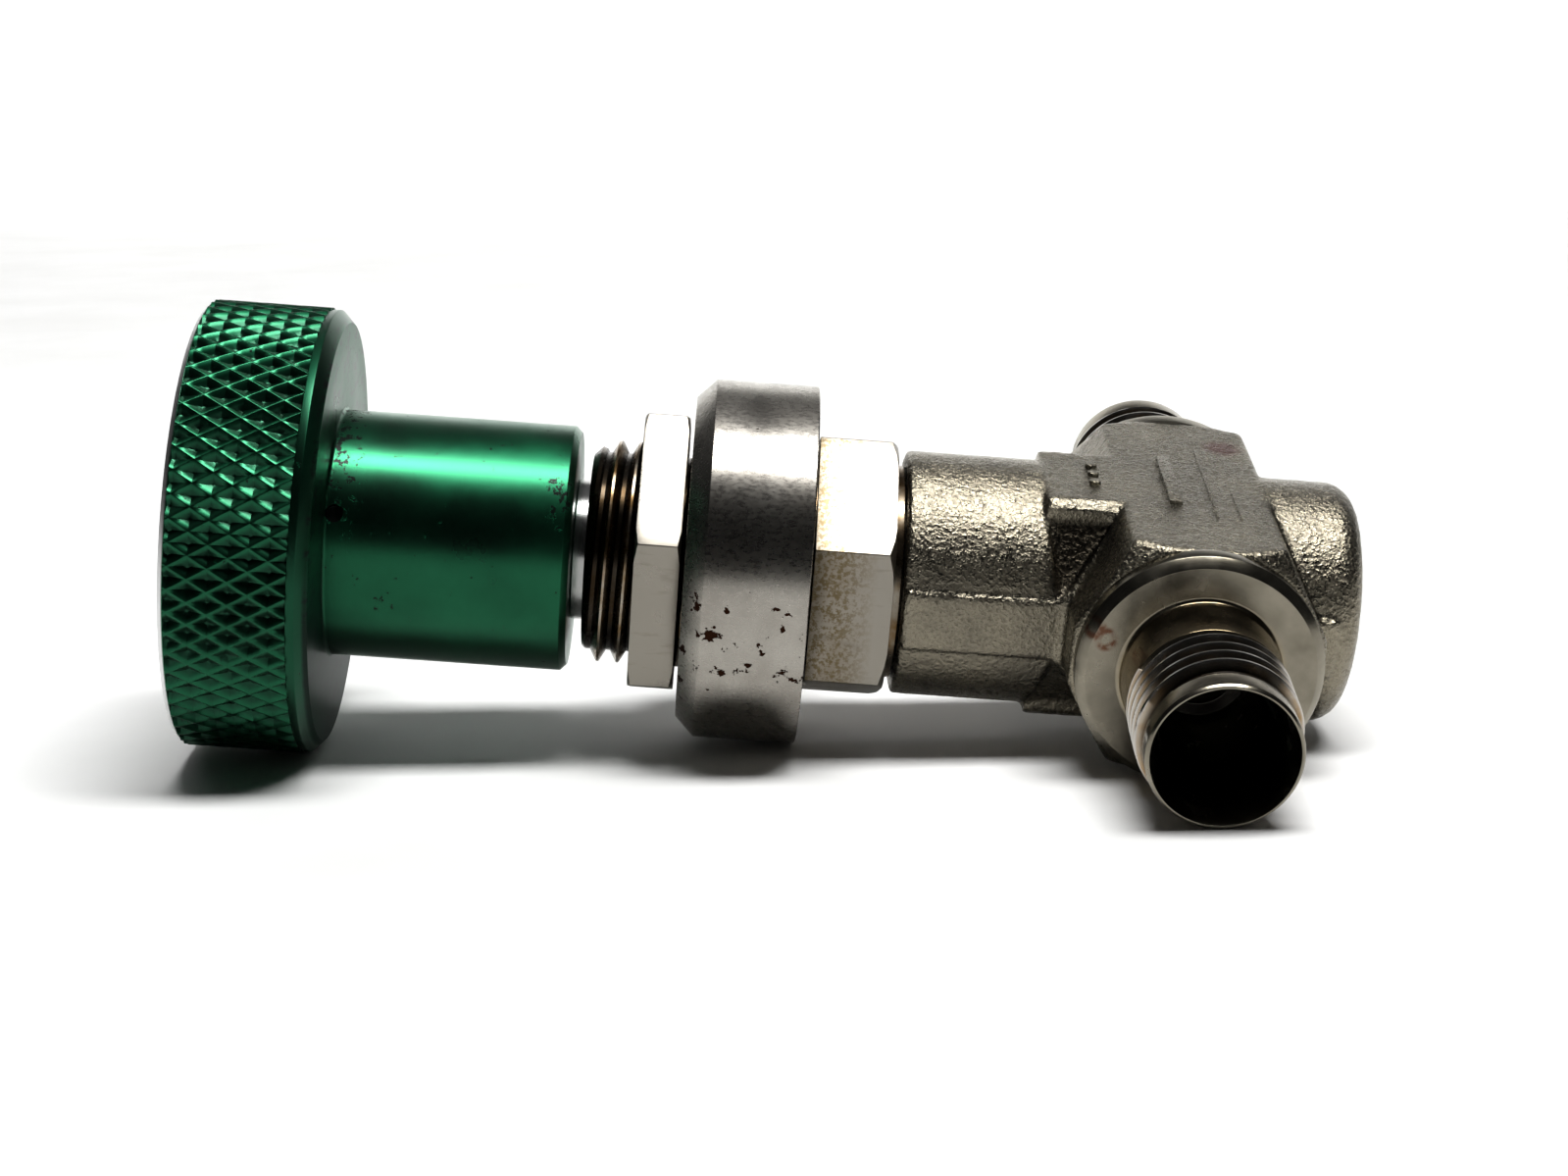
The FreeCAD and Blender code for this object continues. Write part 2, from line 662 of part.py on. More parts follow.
def valve_body():
    """Forging with a round neck, an end boss and a port bar, then its turned ports and bores."""
    body = new_body("valve_body")
    revolve(body, "neck_and_boss", [
        ("neck_start", "0"),
        ("neck_start", "neck_radius - neck_chamfer"),
        ("neck_start + neck_chamfer", "neck_radius"),
        ("0", "neck_radius"),
        ("0", "boss_radius"),
        ("boss_end", "boss_radius"),
        ("boss_end", "0"),
    ])
    round_edge(body, "boss_rounding", "boss_radius", "boss_end", "boss_rounding")
    for side, up in (("upper", ""), ("lower", "-")):
        pad(body, side + "_pad_flat", [
            ("arm_start", up + "pad_height"),
            ("pad_half_width", up + "pad_height"),
            ("pad_half_width", up + "pad_cut_height"),
            ("arm_start", up + "pad_cut_height"),
        ], "XZ_Plane", "neck_radius + neck_radius", kind="Pocket")
    pad(body, "port_bar", [
        ("pad_half_width", "pad_height"),
        ("-pad_half_width", "pad_height"),
        ("-bar_half_width", "parting_half_height"),
        ("-bar_half_width", "-parting_half_height"),
        ("-pad_half_width", "-pad_height"),
        ("pad_half_width", "-pad_height"),
        ("bar_half_width", "-parting_half_height"),
        ("bar_half_width", "parting_half_height"),
    ], "XZ_Plane", "bar_half_length + bar_half_length")
    pad(body, "pad_arm", rectangle("arm_start", "0", "arm_half_width"),
        "XY_Plane", "pad_height + pad_height")
    pad(body, "parting_flats",
        rectangle("neck_start + neck_chamfer", "boss_end - boss_rounding", "parting_flat"),
        "XY_Plane", "parting_half_height + parting_half_height")
    corners = revolve(body, "turned_corners", [
        ("collar_radius", "bar_half_length"),
        ("bar_turned_radius", "bar_half_length"),
        ("bar_turned_radius", "bar_half_length - bar_turned_radius + collar_radius"),
    ], kind="Groove", about="V_Axis")
    mirror_across_stem(body, "turned_corners_far", [corners])
    port = revolve(body, "port", [
        ("0", "bar_half_length - port_root_depth"),
        ("collar_radius", "bar_half_length - port_root_depth"),
        ("collar_radius", "collar_face - collar_radius + collar_face_radius"),
        ("collar_face_radius", "collar_face"),
        ("port_neck_radius", "collar_face"),
        ("port_neck_radius", "port_thread_start"),
        ("port_thread_radius", "port_thread_start"),
        ("port_thread_radius", "port_lead_start"),
        ("port_lead_radius", "port_lead_start"),
        ("port_lead_radius", "port_end"),
        ("0", "port_end"),
    ], about="V_Axis")
    mirror_across_stem(body, "port_near", [port])
    revolve(body, "stem_chamber", [
        ("neck_start", "0"),
        ("neck_start", "neck_bore_radius"),
        ("neck_start + neck_bore_length", "neck_bore_radius"),
        ("neck_start + neck_bore_length", "chamber_radius"),
        ("chamber_end", "chamber_radius"),
        ("chamber_end", "orifice_radius"),
        ("orifice_end", "orifice_radius"),
        ("orifice_end", "0"),
    ], kind="Groove")
    socket = revolve(body, "tube_socket", [
        ("0", "port_end"),
        ("mouth_radius", "port_end"),
        ("tube_radius", "port_end - mouth_depth"),
        ("tube_radius", "port_end - tube_depth"),
        ("passage_radius", "port_end - tube_depth"),
        ("passage_radius", "port_end - passage_depth"),
        ("0", "port_end - passage_depth"),
    ], kind="Groove", about="V_Axis")
    mirror_across_stem(body, "tube_socket_near", [socket])
    drill(body, "inlet_drill", 1, "inlet_drill_station", "inlet_drill_depth")
    drill(body, "outlet_drill", -1, "outlet_drill_station", "outlet_drill_depth")
    return body


parts = [
    knob(),
    knob_pin(),
    actuator_stem(),
    stop_ring(),
    drive_nut(),
    rubber_ring("stem_wiper", "wiper_station", "wiper_mean_radius", "wiper_radius"),
    bonnet(),
    panel_nut(),
    panel_ring(),
    guide_bush(),
    lower_stem(),
    anti_turn_pin(),
    stem_clip(),
    thrust_ball(),
    stem_tip(),
    bellows(),
    plain_ring("bellows_flange", "flange_start", "flange_length",
               "flange_inner_radius", "gasket_outer_radius"),
    plain_ring("bellows_end_ring", "end_ring_start", "end_ring_length",
               "rod_radius + seat_gap", "end_ring_radius"),
    plain_ring("body_gasket", "gasket_start", "gasket_length",
               "gasket_inner_radius", "gasket_outer_radius"),
    rubber_ring("bonnet_seal", "bonnet_ring_station", "bonnet_ring_mean_radius",
                "bonnet_ring_radius"),
    valve_body(),
]
doc.recompute()

for item in doc.Objects:
    if "Invalid" in item.State or "Error" in item.State:
        raise RuntimeError(f"{item.Name} failed: {item.State}")
for sub_part in parts:
    shape = sub_part.Shape
    if shape.isNull() or not shape.isValid():
        raise RuntimeError(f"{sub_part.Label} has no valid shape")
    if len(shape.Solids) != 1:
        raise RuntimeError(f"{sub_part.Label} has {len(shape.Solids)} solids")

os.makedirs("parts", exist_ok=True)
for sub_part in parts:
    sub_part.Shape.exportStep(f"parts/{sub_part.Label}.step")
    print(f"{sub_part.Label}: {sub_part.Shape.Volume:.1f} mm3")
travel = number("turn_pitch") * number("turns_open")
print(f"{len(parts)} sub-parts, stem travel {travel:.2f} mm")
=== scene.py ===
"""Looks of the bellows-sealed flow control valve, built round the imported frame.

Meshes are written in millimetres in the CAD frame: the stem axis is X with the knob at -X, the
ports lie along Y, and the origin is where they cross.
"""
import json
import math

import bmesh
import bpy
import numpy as np
from mathutils import Matrix, Vector, noise


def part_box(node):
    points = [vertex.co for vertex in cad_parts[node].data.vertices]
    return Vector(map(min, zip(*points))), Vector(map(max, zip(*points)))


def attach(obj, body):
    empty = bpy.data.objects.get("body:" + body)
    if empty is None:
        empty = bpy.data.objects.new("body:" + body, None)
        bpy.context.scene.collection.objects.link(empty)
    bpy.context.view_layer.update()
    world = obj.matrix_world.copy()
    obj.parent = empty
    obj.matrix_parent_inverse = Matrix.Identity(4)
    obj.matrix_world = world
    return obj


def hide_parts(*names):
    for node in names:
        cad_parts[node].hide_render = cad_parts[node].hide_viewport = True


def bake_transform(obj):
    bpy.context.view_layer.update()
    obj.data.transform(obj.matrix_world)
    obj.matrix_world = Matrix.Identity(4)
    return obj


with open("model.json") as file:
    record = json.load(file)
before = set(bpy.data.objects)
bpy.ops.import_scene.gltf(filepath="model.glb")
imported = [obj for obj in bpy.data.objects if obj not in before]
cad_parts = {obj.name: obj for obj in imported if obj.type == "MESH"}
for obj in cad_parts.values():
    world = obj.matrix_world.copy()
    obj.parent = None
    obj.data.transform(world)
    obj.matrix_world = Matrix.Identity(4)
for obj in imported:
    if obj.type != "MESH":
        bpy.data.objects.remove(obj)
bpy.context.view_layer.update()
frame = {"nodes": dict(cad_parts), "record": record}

MM = 0.001
TURN = 2 * math.pi


# ---------------------------------------------------------------- sizes, in millimetres

def span(node, axis=0):
    """Lowest and highest coordinate of a CAD node along one axis."""
    low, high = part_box(node)
    return low[axis] / MM, high[axis] / MM


KNOB_FRONT, HUB_END = span("knob")
KNOB_RADIUS = span("knob", 2)[1]
DISC_BACK = KNOB_FRONT + 9.9
HUB_RADIUS = 8.75
KNURL_COUNT = 62
KNURL_PITCH = 2.68
KNURL_DEPTH = 0.44
KNURL_START = KNOB_FRONT + 0.4
KNURL_END = DISC_BACK - 1.35
KNURL_CROSSING = KNOB_FRONT + 6.02

BONNET_FRONT, SPIGOT_END = span("bonnet")
NUT_FRONT, NUT_BACK = span("panel_nut")
RING_FRONT, RING_BACK = span("panel_ring")
RING_RADIUS = span("panel_ring", 2)[1]
RING_CHAMFER = 1.35
HEX_FRONT = -26.4
HEX_LENGTH = 5.6
HEX_FLATS = 17.2
HEX_TURN = 1.2
NUT_FLATS = 19.05
NUT_TRIM = 10.6
NUT_TURN = 4.2
BELLOWS_START = -13.4
BELLOWS_END = -4.6

BODY_FRONT, BOSS_END = span("valve_body")
PORT_END = span("valve_body", 1)[1]
NECK_RADIUS = 8.7
BOSS_RADIUS = 8.6
BAR_REACH = 12.6
BAR_SIDE = 8.7
PAD_HEIGHT = 8.34
PAD_FRONT = -10.5
PAD_SIDE = 5.15
PARTING_HALF = 2.1
FORGING_VOXEL = 0.21


# ---------------------------------------------------------------- mesh helpers

def new_object(name, verts, faces):
    """A mesh object from points in millimetres."""
    mesh = bpy.data.meshes.new(name)
    mesh.from_pydata([tuple(point) for point in np.asarray(verts) * MM], [], faces)
    mesh.validate()
    thing = bpy.data.objects.new(name, mesh)
    bpy.context.scene.collection.objects.link(thing)
    return thing


def tidy(thing, merge=0.002):
    """Merge doubled points, drop flat faces and turn every face outwards."""
    edit = bmesh.new()
    edit.from_mesh(thing.data)
    bmesh.ops.remove_doubles(edit, verts=edit.verts, dist=merge * MM)
    bmesh.ops.dissolve_degenerate(edit, edges=edit.edges, dist=merge * MM * 0.5)
    bmesh.ops.recalc_face_normals(edit, faces=edit.faces)
    edit.to_mesh(thing.data)
    edit.free()
    return thing


def shade(thing, angle=32):
    """Smooth shading with edges sharper than the angle kept crisp."""
    thing.data.shade_smooth()
    thing.data.set_sharp_from_angle(angle=math.radians(angle))
    return thing


def apply_modifiers(thing):
    """Turn the modifiers of a mesh into plain geometry."""
    graph = bpy.context.evaluated_depsgraph_get()
    mesh = bpy.data.meshes.new_from_object(thing.evaluated_get(graph))
    thing.modifiers.clear()
    thing.data = mesh
    return thing


def bevel(thing, width, segments=2):
    """Break the crisp edges of a mesh by a small radius."""
    edge = thing.modifiers.new("edge_break", "BEVEL")
    edge.width = width * MM
    edge.segments = segments
    edge.limit_method = "ANGLE"
    edge.angle_limit = math.radians(30)
    edge.use_clamp_overlap = True
    return apply_modifiers(thing)


def combine(name, pieces):
    """One object from several, as separate closed shells."""
    edit = bmesh.new()
    for piece in pieces:
        edit.from_mesh(piece.data)
        bpy.data.objects.remove(piece)
    mesh = bpy.data.meshes.new(name)
    edit.to_mesh(mesh)
    edit.free()
    thing = bpy.data.objects.new(name, mesh)
    bpy.context.scene.collection.objects.link(thing)
    return thing


def cut(thing, tool, operation="DIFFERENCE"):
    """Boolean a tool out of a mesh and remove the tool."""
    change = thing.modifiers.new("cut", "BOOLEAN")
    change.operation = operation
    change.object = tool
    change.solver = "MANIFOLD"
    apply_modifiers(thing)
    bpy.data.objects.remove(tool)
    return thing


def rounded(profile):
    """Replace each (along, radius, fillet) corner by an arc of short steps."""
    points = []
    count = len(profile)
    for index, (along, radius, fillet) in enumerate(profile):
        here = np.array([along, radius])
        before = np.array(profile[index - 1][:2])
        after = np.array(profile[(index + 1) % count][:2])
        open_end = index in (0, count - 1)
        if not fillet or open_end:
            points.append(here)
            continue
        back = (before - here) / np.linalg.norm(before - here)
        ahead = (after - here) / np.linalg.norm(after - here)
        half = math.acos(np.clip(back @ ahead, -1, 1)) / 2
        reach = fillet / math.tan(half)
        centre = here + (back + ahead) / np.linalg.norm(back + ahead) * fillet / math.sin(half)
        start, end = here + back * reach, here + ahead * reach
        steps = max(2, int(math.degrees(math.pi - 2 * half) / 15))
        for step in range(steps + 1):
            share = step / steps
            arm = (start - centre) * (1 - share) + (end - centre) * share
            points.append(centre + arm / np.linalg.norm(arm) * fillet)
    return points


def place(along, radius, angle, axis):
    """A point from its distance along an axis, radius and angle from -Y (or from +Z for axis Y)."""
    if axis == "X":
        return (along, -radius * math.cos(angle), radius * math.sin(angle))
    return (radius * math.sin(angle), along, radius * math.cos(angle))


def loop_faces(rows, count, closed=True):
    """Quads between rows that are each a loop of points; closed joins the last row to the first."""
    faces = []
    for row in range(rows if closed else rows - 1):
        below, above = row * count, (row + 1) % rows * count
        for step in range(count):
            after = (step + 1) % count
            faces.append((below + step, below + after, above + after, above + step))
    return faces


def lathe(name, profile, steps=160, axis="X"):
    """A closed solid of revolution; an end at radius 0 closes in a point, else the loop closes."""
    points = rounded(profile)
    closed = points[0][1] > 0 and points[-1][1] > 0
    verts = [place(along, radius, TURN * step / steps, axis)
             for along, radius in points for step in range(steps)]
    return tidy(new_object(name, verts, loop_faces(len(points), steps, closed)))


def thread_radius(share, major, depth):
    """Radius across one thread: flat crest, straight flanks and a narrow root."""
    crest, root = 0.14, 0.2
    away = abs(share % 1.0 - 0.5) * 2
    flank = (away - root) / (1 - root - crest)
    return major - depth * (1 - min(max(flank, 0.0), 1.0))


def threaded(name, start, end, pitch, major, depth, limit, inner, axis="X"):
    """A closed threaded sleeve. limit(along) caps the radius, for leads and run-outs."""
    steps = 120
    marks = (0.0, 0.06, 0.1, 0.3, 0.4, 0.46, 0.54, 0.6, 0.7, 0.9, 0.94)
    turns = int((end - start) / pitch) + 3
    rows = [turn + mark for turn in range(-2, turns) for mark in marks]
    verts, faces = [], []
    for row in rows:
        for step in range(steps + 1):
            along = start + pitch * (row + step / steps)
            held = min(max(along, start), end)
            radius = min(thread_radius(row, major, depth), limit(held))
            verts.append(place(held, radius if held == along else inner, TURN * step / steps, axis))
    width = steps + 1
    for row in range(len(rows) - 1):
        for step in range(steps):
            low = row * width + step
            faces.append((low, low + 1, low + 1 + width, low + width))
    return tidy(new_object(name, verts, faces), 0.004)


def hexagon_outline(flats, turn_by):
    """Points round a hexagon with rounded corners, a corner pair turned some degrees off Z."""
    corner_fillet, per_flat, per_corner = 0.12, 8, 4
    half = flats / 2
    corner = flats / math.sqrt(3)
    outline = []
    for side in range(6):
        middle = math.radians(90 + 60 * side + turn_by)
        centre = corner - corner_fillet / math.cos(math.radians(30))
        for step in range(per_corner + 1):
            turn = middle + math.radians(-30 + 60 * step / per_corner)
            across = centre * math.cos(middle) + corner_fillet * math.cos(turn)
            up = centre * math.sin(middle) + corner_fillet * math.sin(turn)
            outline.append((across, up))
        reach = half * math.tan(math.radians(30)) - corner_fillet * math.tan(math.radians(30))
        face = middle + math.radians(30)
        for step in range(1, per_flat):
            along = reach * (2 * step / per_flat - 1)
            across = half * math.cos(face) - along * math.sin(face)
            up = half * math.sin(face) + along * math.cos(face)
            outline.append((across, up))
    return outline


def hex_block(name, start, length, flats, bore, trims, turn_by):
    """A hexagonal ring along X; trims holds each end's chamfer circle, or None for a square end."""
    slope = math.tan(math.radians(30))
    rows = [[], [], [], [], [], []]
    for across, up in hexagon_outline(flats, turn_by):
        radius = math.hypot(across, up)
        unit = (across / radius, up / radius)
        front, back = [radius if trim is None else min(trim, radius) for trim in trims]
        stations = (
            (start, bore),
            (start, front),
            (start + (radius - front) * slope, radius),
            (start + length - (radius - back) * slope, radius),
            (start + length, back),
            (start + length, bore),
        )
        for row, (along, reach) in zip(rows, stations):
            row.append((along, unit[0] * reach, unit[1] * reach))
    verts = [point for row in rows for point in row]
    faces = loop_faces(len(rows), len(rows[0]))
    return bevel(tidy(new_object(name, verts, faces)), 0.05)


def block(name, low, high):
    """A plain box, used as a shape to add or cut."""
    corners = [(x, y, z) for x in (low[0], high[0]) for y in (low[1], high[1])
               for z in (low[2], high[2])]
    faces = [(0, 1, 3, 2), (4, 6, 7, 5), (0, 4, 5, 1), (2, 3, 7, 6), (0, 2, 6, 4), (1, 5, 7, 3)]
    return new_object(name, corners, faces)


def prism(name, near_end, far_end):
    """A closed solid between two matching outlines."""
    count = len(near_end)
    faces = [tuple(range(count)), tuple(range(2 * count - 1, count - 1, -1))]
    faces += [(side, (side + 1) % count, (side + 1) % count + count, side + count)
              for side in range(count)]
    return tidy(new_object(name, [*near_end, *far_end], faces))


# ---------------------------------------------------------------- knob

def knurl_sleeve(name):
    """Crossed ridges with diamond hollows between them, each a little worn, on a sleeve."""
    worn = np.random.default_rng(5)
    across = TURN / KNURL_COUNT
    hollow = ((1.0, 0.0), (0.94, 0.02), (0.55, 0.5), (0.16, 0.96))
    sides = 12
    verts, faces = [], []
    first_column = -2 * int((KNURL_CROSSING - KNURL_START) / KNURL_PITCH + 1)
    last_column = 2 * int((KNURL_END - KNURL_CROSSING) / KNURL_PITCH + 2)
    for column in range(first_column, last_column):
        along = KNURL_CROSSING + KNURL_PITCH * column / 2
        for row in range(KNURL_COUNT):
            angle = across * (row + 0.5 * ((column + 1) % 2))
            base = len(verts)
            wear, lean = worn.uniform(-0.06, 0.0), worn.uniform(-0.04, 0.04, 2)
            for share, sink in hollow:
                for side in range(sides):
                    corner = math.cos(TURN * side / sides)
                    rise = math.sin(TURN * side / sides)
                    scale = share / (abs(corner) + abs(rise))
                    tilt = (lean[0] * corner + lean[1] * rise + wear) * sink
                    verts.append(place(along + corner * scale * KNURL_PITCH / 2,
                                       KNOB_RADIUS - KNURL_DEPTH * sink - tilt,
                                       angle + rise * scale * across / 2, "X"))
            verts.append(place(along, KNOB_RADIUS - KNURL_DEPTH - wear, angle, "X"))
            for ring in range(len(hollow) - 1):
                for side in range(sides):
                    first = base + ring * sides + side
                    second = base + ring * sides + (side + 1) % sides
                    faces.append((first, second, second + sides, first + sides))
            last = base + (len(hollow) - 1) * sides
            for side in range(sides):
                faces.append((last + side, last + (side + 1) % sides, last + sides))
    sleeve = new_object(name, verts, faces)
    edit = bmesh.new()
    edit.from_mesh(sleeve.data)
    bmesh.ops.remove_doubles(edit, verts=edit.verts, dist=0.004 * MM)
    for station, side in ((KNURL_START, -1), (KNURL_END, 1)):
        geometry = edit.verts[:] + edit.edges[:] + edit.faces[:]
        bmesh.ops.bisect_plane(edit, geom=geometry, plane_co=(station * MM, 0, 0),
                               plane_no=(side, 0, 0), clear_outer=True)
    # close the cut ends inwards so that the sleeve is a solid wall
    rims = [edge for edge in edit.edges if edge.is_boundary]
    made = bmesh.ops.extrude_edge_only(edit, edges=rims)["geom"]
    inner = (KNOB_RADIUS - KNURL_DEPTH - 0.35) * MM
    for vert in made:
        if isinstance(vert, bmesh.types.BMVert):
            reach = math.hypot(vert.co.y, vert.co.z)
            vert.co.y *= inner / reach
            vert.co.z *= inner / reach
    bmesh.ops.recalc_face_normals(edit, faces=edit.faces)
    edit.to_mesh(sleeve.data)
    edit.free()
    return sleeve


def knob():
    """Disc, hub and bore as one turning, with the knurl over the disc's rim."""
    core = KNOB_RADIUS - KNURL_DEPTH - 0.2
    recess_radius, recess_floor = 12.6, KNOB_FRONT + 0.5
    bore_radius, bore_floor = 4.02, KNOB_FRONT + 7.4
    pin_radius, pin_place, pin_turn = 0.64, KNOB_FRONT + 10.55, -31
    turning = lathe("knob_turning", [
        (recess_floor, 0, 0),
        (recess_floor, recess_radius - 0.2, 0.25),
        (KNOB_FRONT, recess_radius, 0.1),
        (KNOB_FRONT, KNOB_RADIUS - 0.5, 0.1),
        (KNOB_FRONT + 0.42, KNOB_RADIUS - 0.04, 0.05),
        (KNOB_FRONT + 0.46, core, 0),
        (KNURL_END - 0.02, core, 0),
        (KNURL_END - 0.02, KNOB_RADIUS - 0.16, 0.05),
        (DISC_BACK - 0.8, KNOB_RADIUS - 0.1, 0.12),
        (DISC_BACK, KNOB_RADIUS - 0.95, 0.12),
        (DISC_BACK, HUB_RADIUS, 0.25),
        (HUB_END - 0.45, HUB_RADIUS, 0.1),
        (HUB_END, HUB_RADIUS - 0.45, 0.1),
        (HUB_END, bore_radius, 0.05),
        (bore_floor, bore_radius, 0),
        (bore_floor, 0, 0),
    ], steps=256)
    hole = lathe("pin_bore", [(-9.5, 0, 0), (-9.5, pin_radius, 0), (9.5, pin_radius, 0),
                              (9.5, 0, 0)], steps=32)
    tilt = (Matrix.Rotation(math.radians(pin_turn), 4, "X")
            @ Matrix.Rotation(math.radians(90), 4, "Z"))
    hole.data.transform(Matrix.Translation((pin_place * MM, 0, 0)) @ tilt)
    cut(turning, hole)
    return shade(combine("green_knob", [turning, knurl_sleeve("knurl")]), 28)


# ---------------------------------------------------------------- stem, nut, ring and bonnet

def actuator():
    """Ground shaft with its spindle, drive thread and socket."""
    start, end = span("actuator_stem")
    step = HUB_END + 0.02
    spindle, shaft, thread, socket = 3.98, 5.0, 3.9, 2.3
    stop_groove, clip_groove = 3.55, 2.85
    return shade(lathe("ground_shaft", [
        (start, 0, 0),
        (start, spindle, 0.3),
        (step, spindle, 0),
        (step, shaft, 0.12),
        (step + 3.95, shaft, 0.12),
        (step + 3.95, thread, 0.1),
        (end - 0.92, thread, 0.02),
        (end - 0.92, stop_groove, 0.02),
        (end - 0.38, stop_groove, 0.02),
        (end - 0.38, thread, 0.02),
        (end, thread, 0.05),
        (end, socket, 0.05),
        (end - 1.25, socket, 0),
        (end - 1.25, clip_groove, 0),
        (end - 2.15, clip_groove, 0),
        (end - 2.15, socket, 0),
        (end - 5.1, socket, 0),
        (end - 5.1, 0, 0),
    ], steps=128))


def bonnet():
    """Panel thread, hexagon and spigot round the stem bore."""
    pitch, major, depth = 1.411, 7.93, 0.86
    mouth, root, collar, spigot = 6.85, 7.05, 7.6, 6.55
    nut_bore, stem_bore, keyed_bore, bush_bore = 6.54, 4.6, 4.04, 5.04
    nut_bore_end, keyed_start, bush_start = -31.0, -22.5, -16.5
    shoulder = HEX_FRONT + HEX_LENGTH + 0.6
    screw_bore, hex_bore, hex_trim = 6.7, 7.2, 9.1

    def limit(along):
        """Greatest radius, rising from the mouth to the full thread."""
        return min(major, mouth + max(along - BONNET_FRONT, 0))

    tube = lathe("bonnet_tube", [
        (BONNET_FRONT, nut_bore, 0),
        (BONNET_FRONT, mouth, 0.05),
        (BONNET_FRONT + 0.2, root, 0.05),
        (HEX_FRONT + 1, root, 0),
        (HEX_FRONT + 1, collar, 0),
        (shoulder, collar, 0.1),
        (shoulder, spigot, 0),
        (SPIGOT_END, spigot, 0.2),
        (SPIGOT_END, bush_bore, 0),
        (bush_start, bush_bore, 0),
        (bush_start, keyed_bore, 0),
        (keyed_start, keyed_bore, 0),
        (keyed_start, stem_bore, 0),
        (nut_bore_end, stem_bore, 0),
        (nut_bore_end, nut_bore, 0),
    ])
    screw = threaded("panel_thread", BONNET_FRONT, HEX_FRONT + 0.5, pitch, major, depth, limit,
                     screw_bore)
    shade(screw, 20)
    blank = hex_block("bonnet_hexagon", HEX_FRONT, HEX_LENGTH, HEX_FLATS, hex_bore,
                      (None, hex_trim), HEX_TURN)
    return shade(tube), screw, shade(blank, 25)


def panel_nut():
    """Thin hexagon nut with barely chamfered corners."""
    bore = 7.99
    return shade(hex_block("hex_nut", NUT_FRONT, NUT_BACK - NUT_FRONT, NUT_FLATS, bore,
                           (NUT_TRIM, NUT_TRIM), NUT_TURN), 25)


def panel_ring():
    """Round ring with its front edge bevelled."""
    bore = 7.96
    return shade(lathe("round_ring", [
        (RING_FRONT, bore, 0.2),
        (RING_FRONT, RING_RADIUS - RING_CHAMFER, 0.12),
        (RING_FRONT + RING_CHAMFER, RING_RADIUS, 0.12),
        (RING_BACK, RING_RADIUS, 0.12),
        (RING_BACK, bore, 0.2),
        ((RING_FRONT + RING_BACK) / 2, bore, 0),
    ], steps=256))


# ---------------------------------------------------------------- forged body

def pocket(across, up):
    """Wedge that leaves a flat between the pad arm and the parting line, beside the port bar."""
    flat = np.array([(PAD_FRONT, 5.2, 6.85), (-9.3, 8.35, 2.2), (-1.0, 8.35, 2.2),
                     (-1.0, 5.2, 6.85)])
    outwards = np.array([0, 0.83, 0.56]) * 3
    mirror = (1, across, up)
    return prism("pocket", flat * mirror, (flat + outwards) * mirror)


def blasted(body):
    """Push each point in or out a little, for the uneven skin of a forging."""
    height, wave = 0.025, 0.7
    mesh = body.data
    normals = [vert.normal.copy() for vert in mesh.vertices]
    for vert, normal in zip(mesh.vertices, normals):
        away = noise.noise(vert.co / (wave * MM)) + 0.6 * noise.noise(vert.co / (0.45 * wave * MM))
        vert.co += normal * away * height * MM
    mesh.update()


def flash_ridge(across, up):
    """Raised flash line along the edge where the port bar leaves the pocket."""
    start = Vector((-4.9, 5.2 * across, 8.1 * up)) * MM
    end = Vector((-9.0, 8.6 * across, 2.1 * up)) * MM
    length = (end - start).length / MM
    ridge = lathe("flash_ridge", [(0, 0, 0), (0, 0.32, 0), (length, 0.32, 0), (length, 0, 0)],
                  steps=16)
    turn = (end - start).to_track_quat("X", "Z").to_matrix().to_4x4()
    ridge.data.transform(Matrix.Translation(start) @ turn)
    return ridge


def pad_arm():
    """Arm of the pad along the stem, with its long edges broken by a broad chamfer."""
    flat, side, edge = 4.55, 5.3, 7.78
    outline = [(flat, PAD_HEIGHT), (side, edge), (side, -edge), (flat, -PAD_HEIGHT),
               (-flat, -PAD_HEIGHT), (-side, -edge), (-side, edge), (-flat, PAD_HEIGHT)]
    return prism("pad_arm", *[[(x, y, z) for y, z in outline] for x in (PAD_FRONT, 0)])


def port_bar():
    """Eight-sided bar along the ports, with its ends tapered towards the collars."""
    outline = [(PAD_SIDE, PAD_HEIGHT), (-PAD_SIDE, PAD_HEIGHT),
               (-BAR_SIDE, PARTING_HALF), (-BAR_SIDE, -PARTING_HALF),
               (-PAD_SIDE, -PAD_HEIGHT), (PAD_SIDE, -PAD_HEIGHT),
               (BAR_SIDE, -PARTING_HALF), (BAR_SIDE, PARTING_HALF)]
    bar = prism("forging_bar", *[[(x, y, z) for x, z in outline] for y in (-BAR_REACH, BAR_REACH)])
    end, end_radius, middle, middle_radius = BAR_REACH + 0.1, 8.42, 9.6, 11.5
    envelope = lathe("bar_envelope", [
        (-end, 0, 0),
        (-end, end_radius, 0),
        (-middle, middle_radius, 0),
        (middle, middle_radius, 0),
        (end, end_radius, 0),
        (end, 0, 0),
    ], axis="Y")
    return cut(bar, envelope, "INTERSECT")


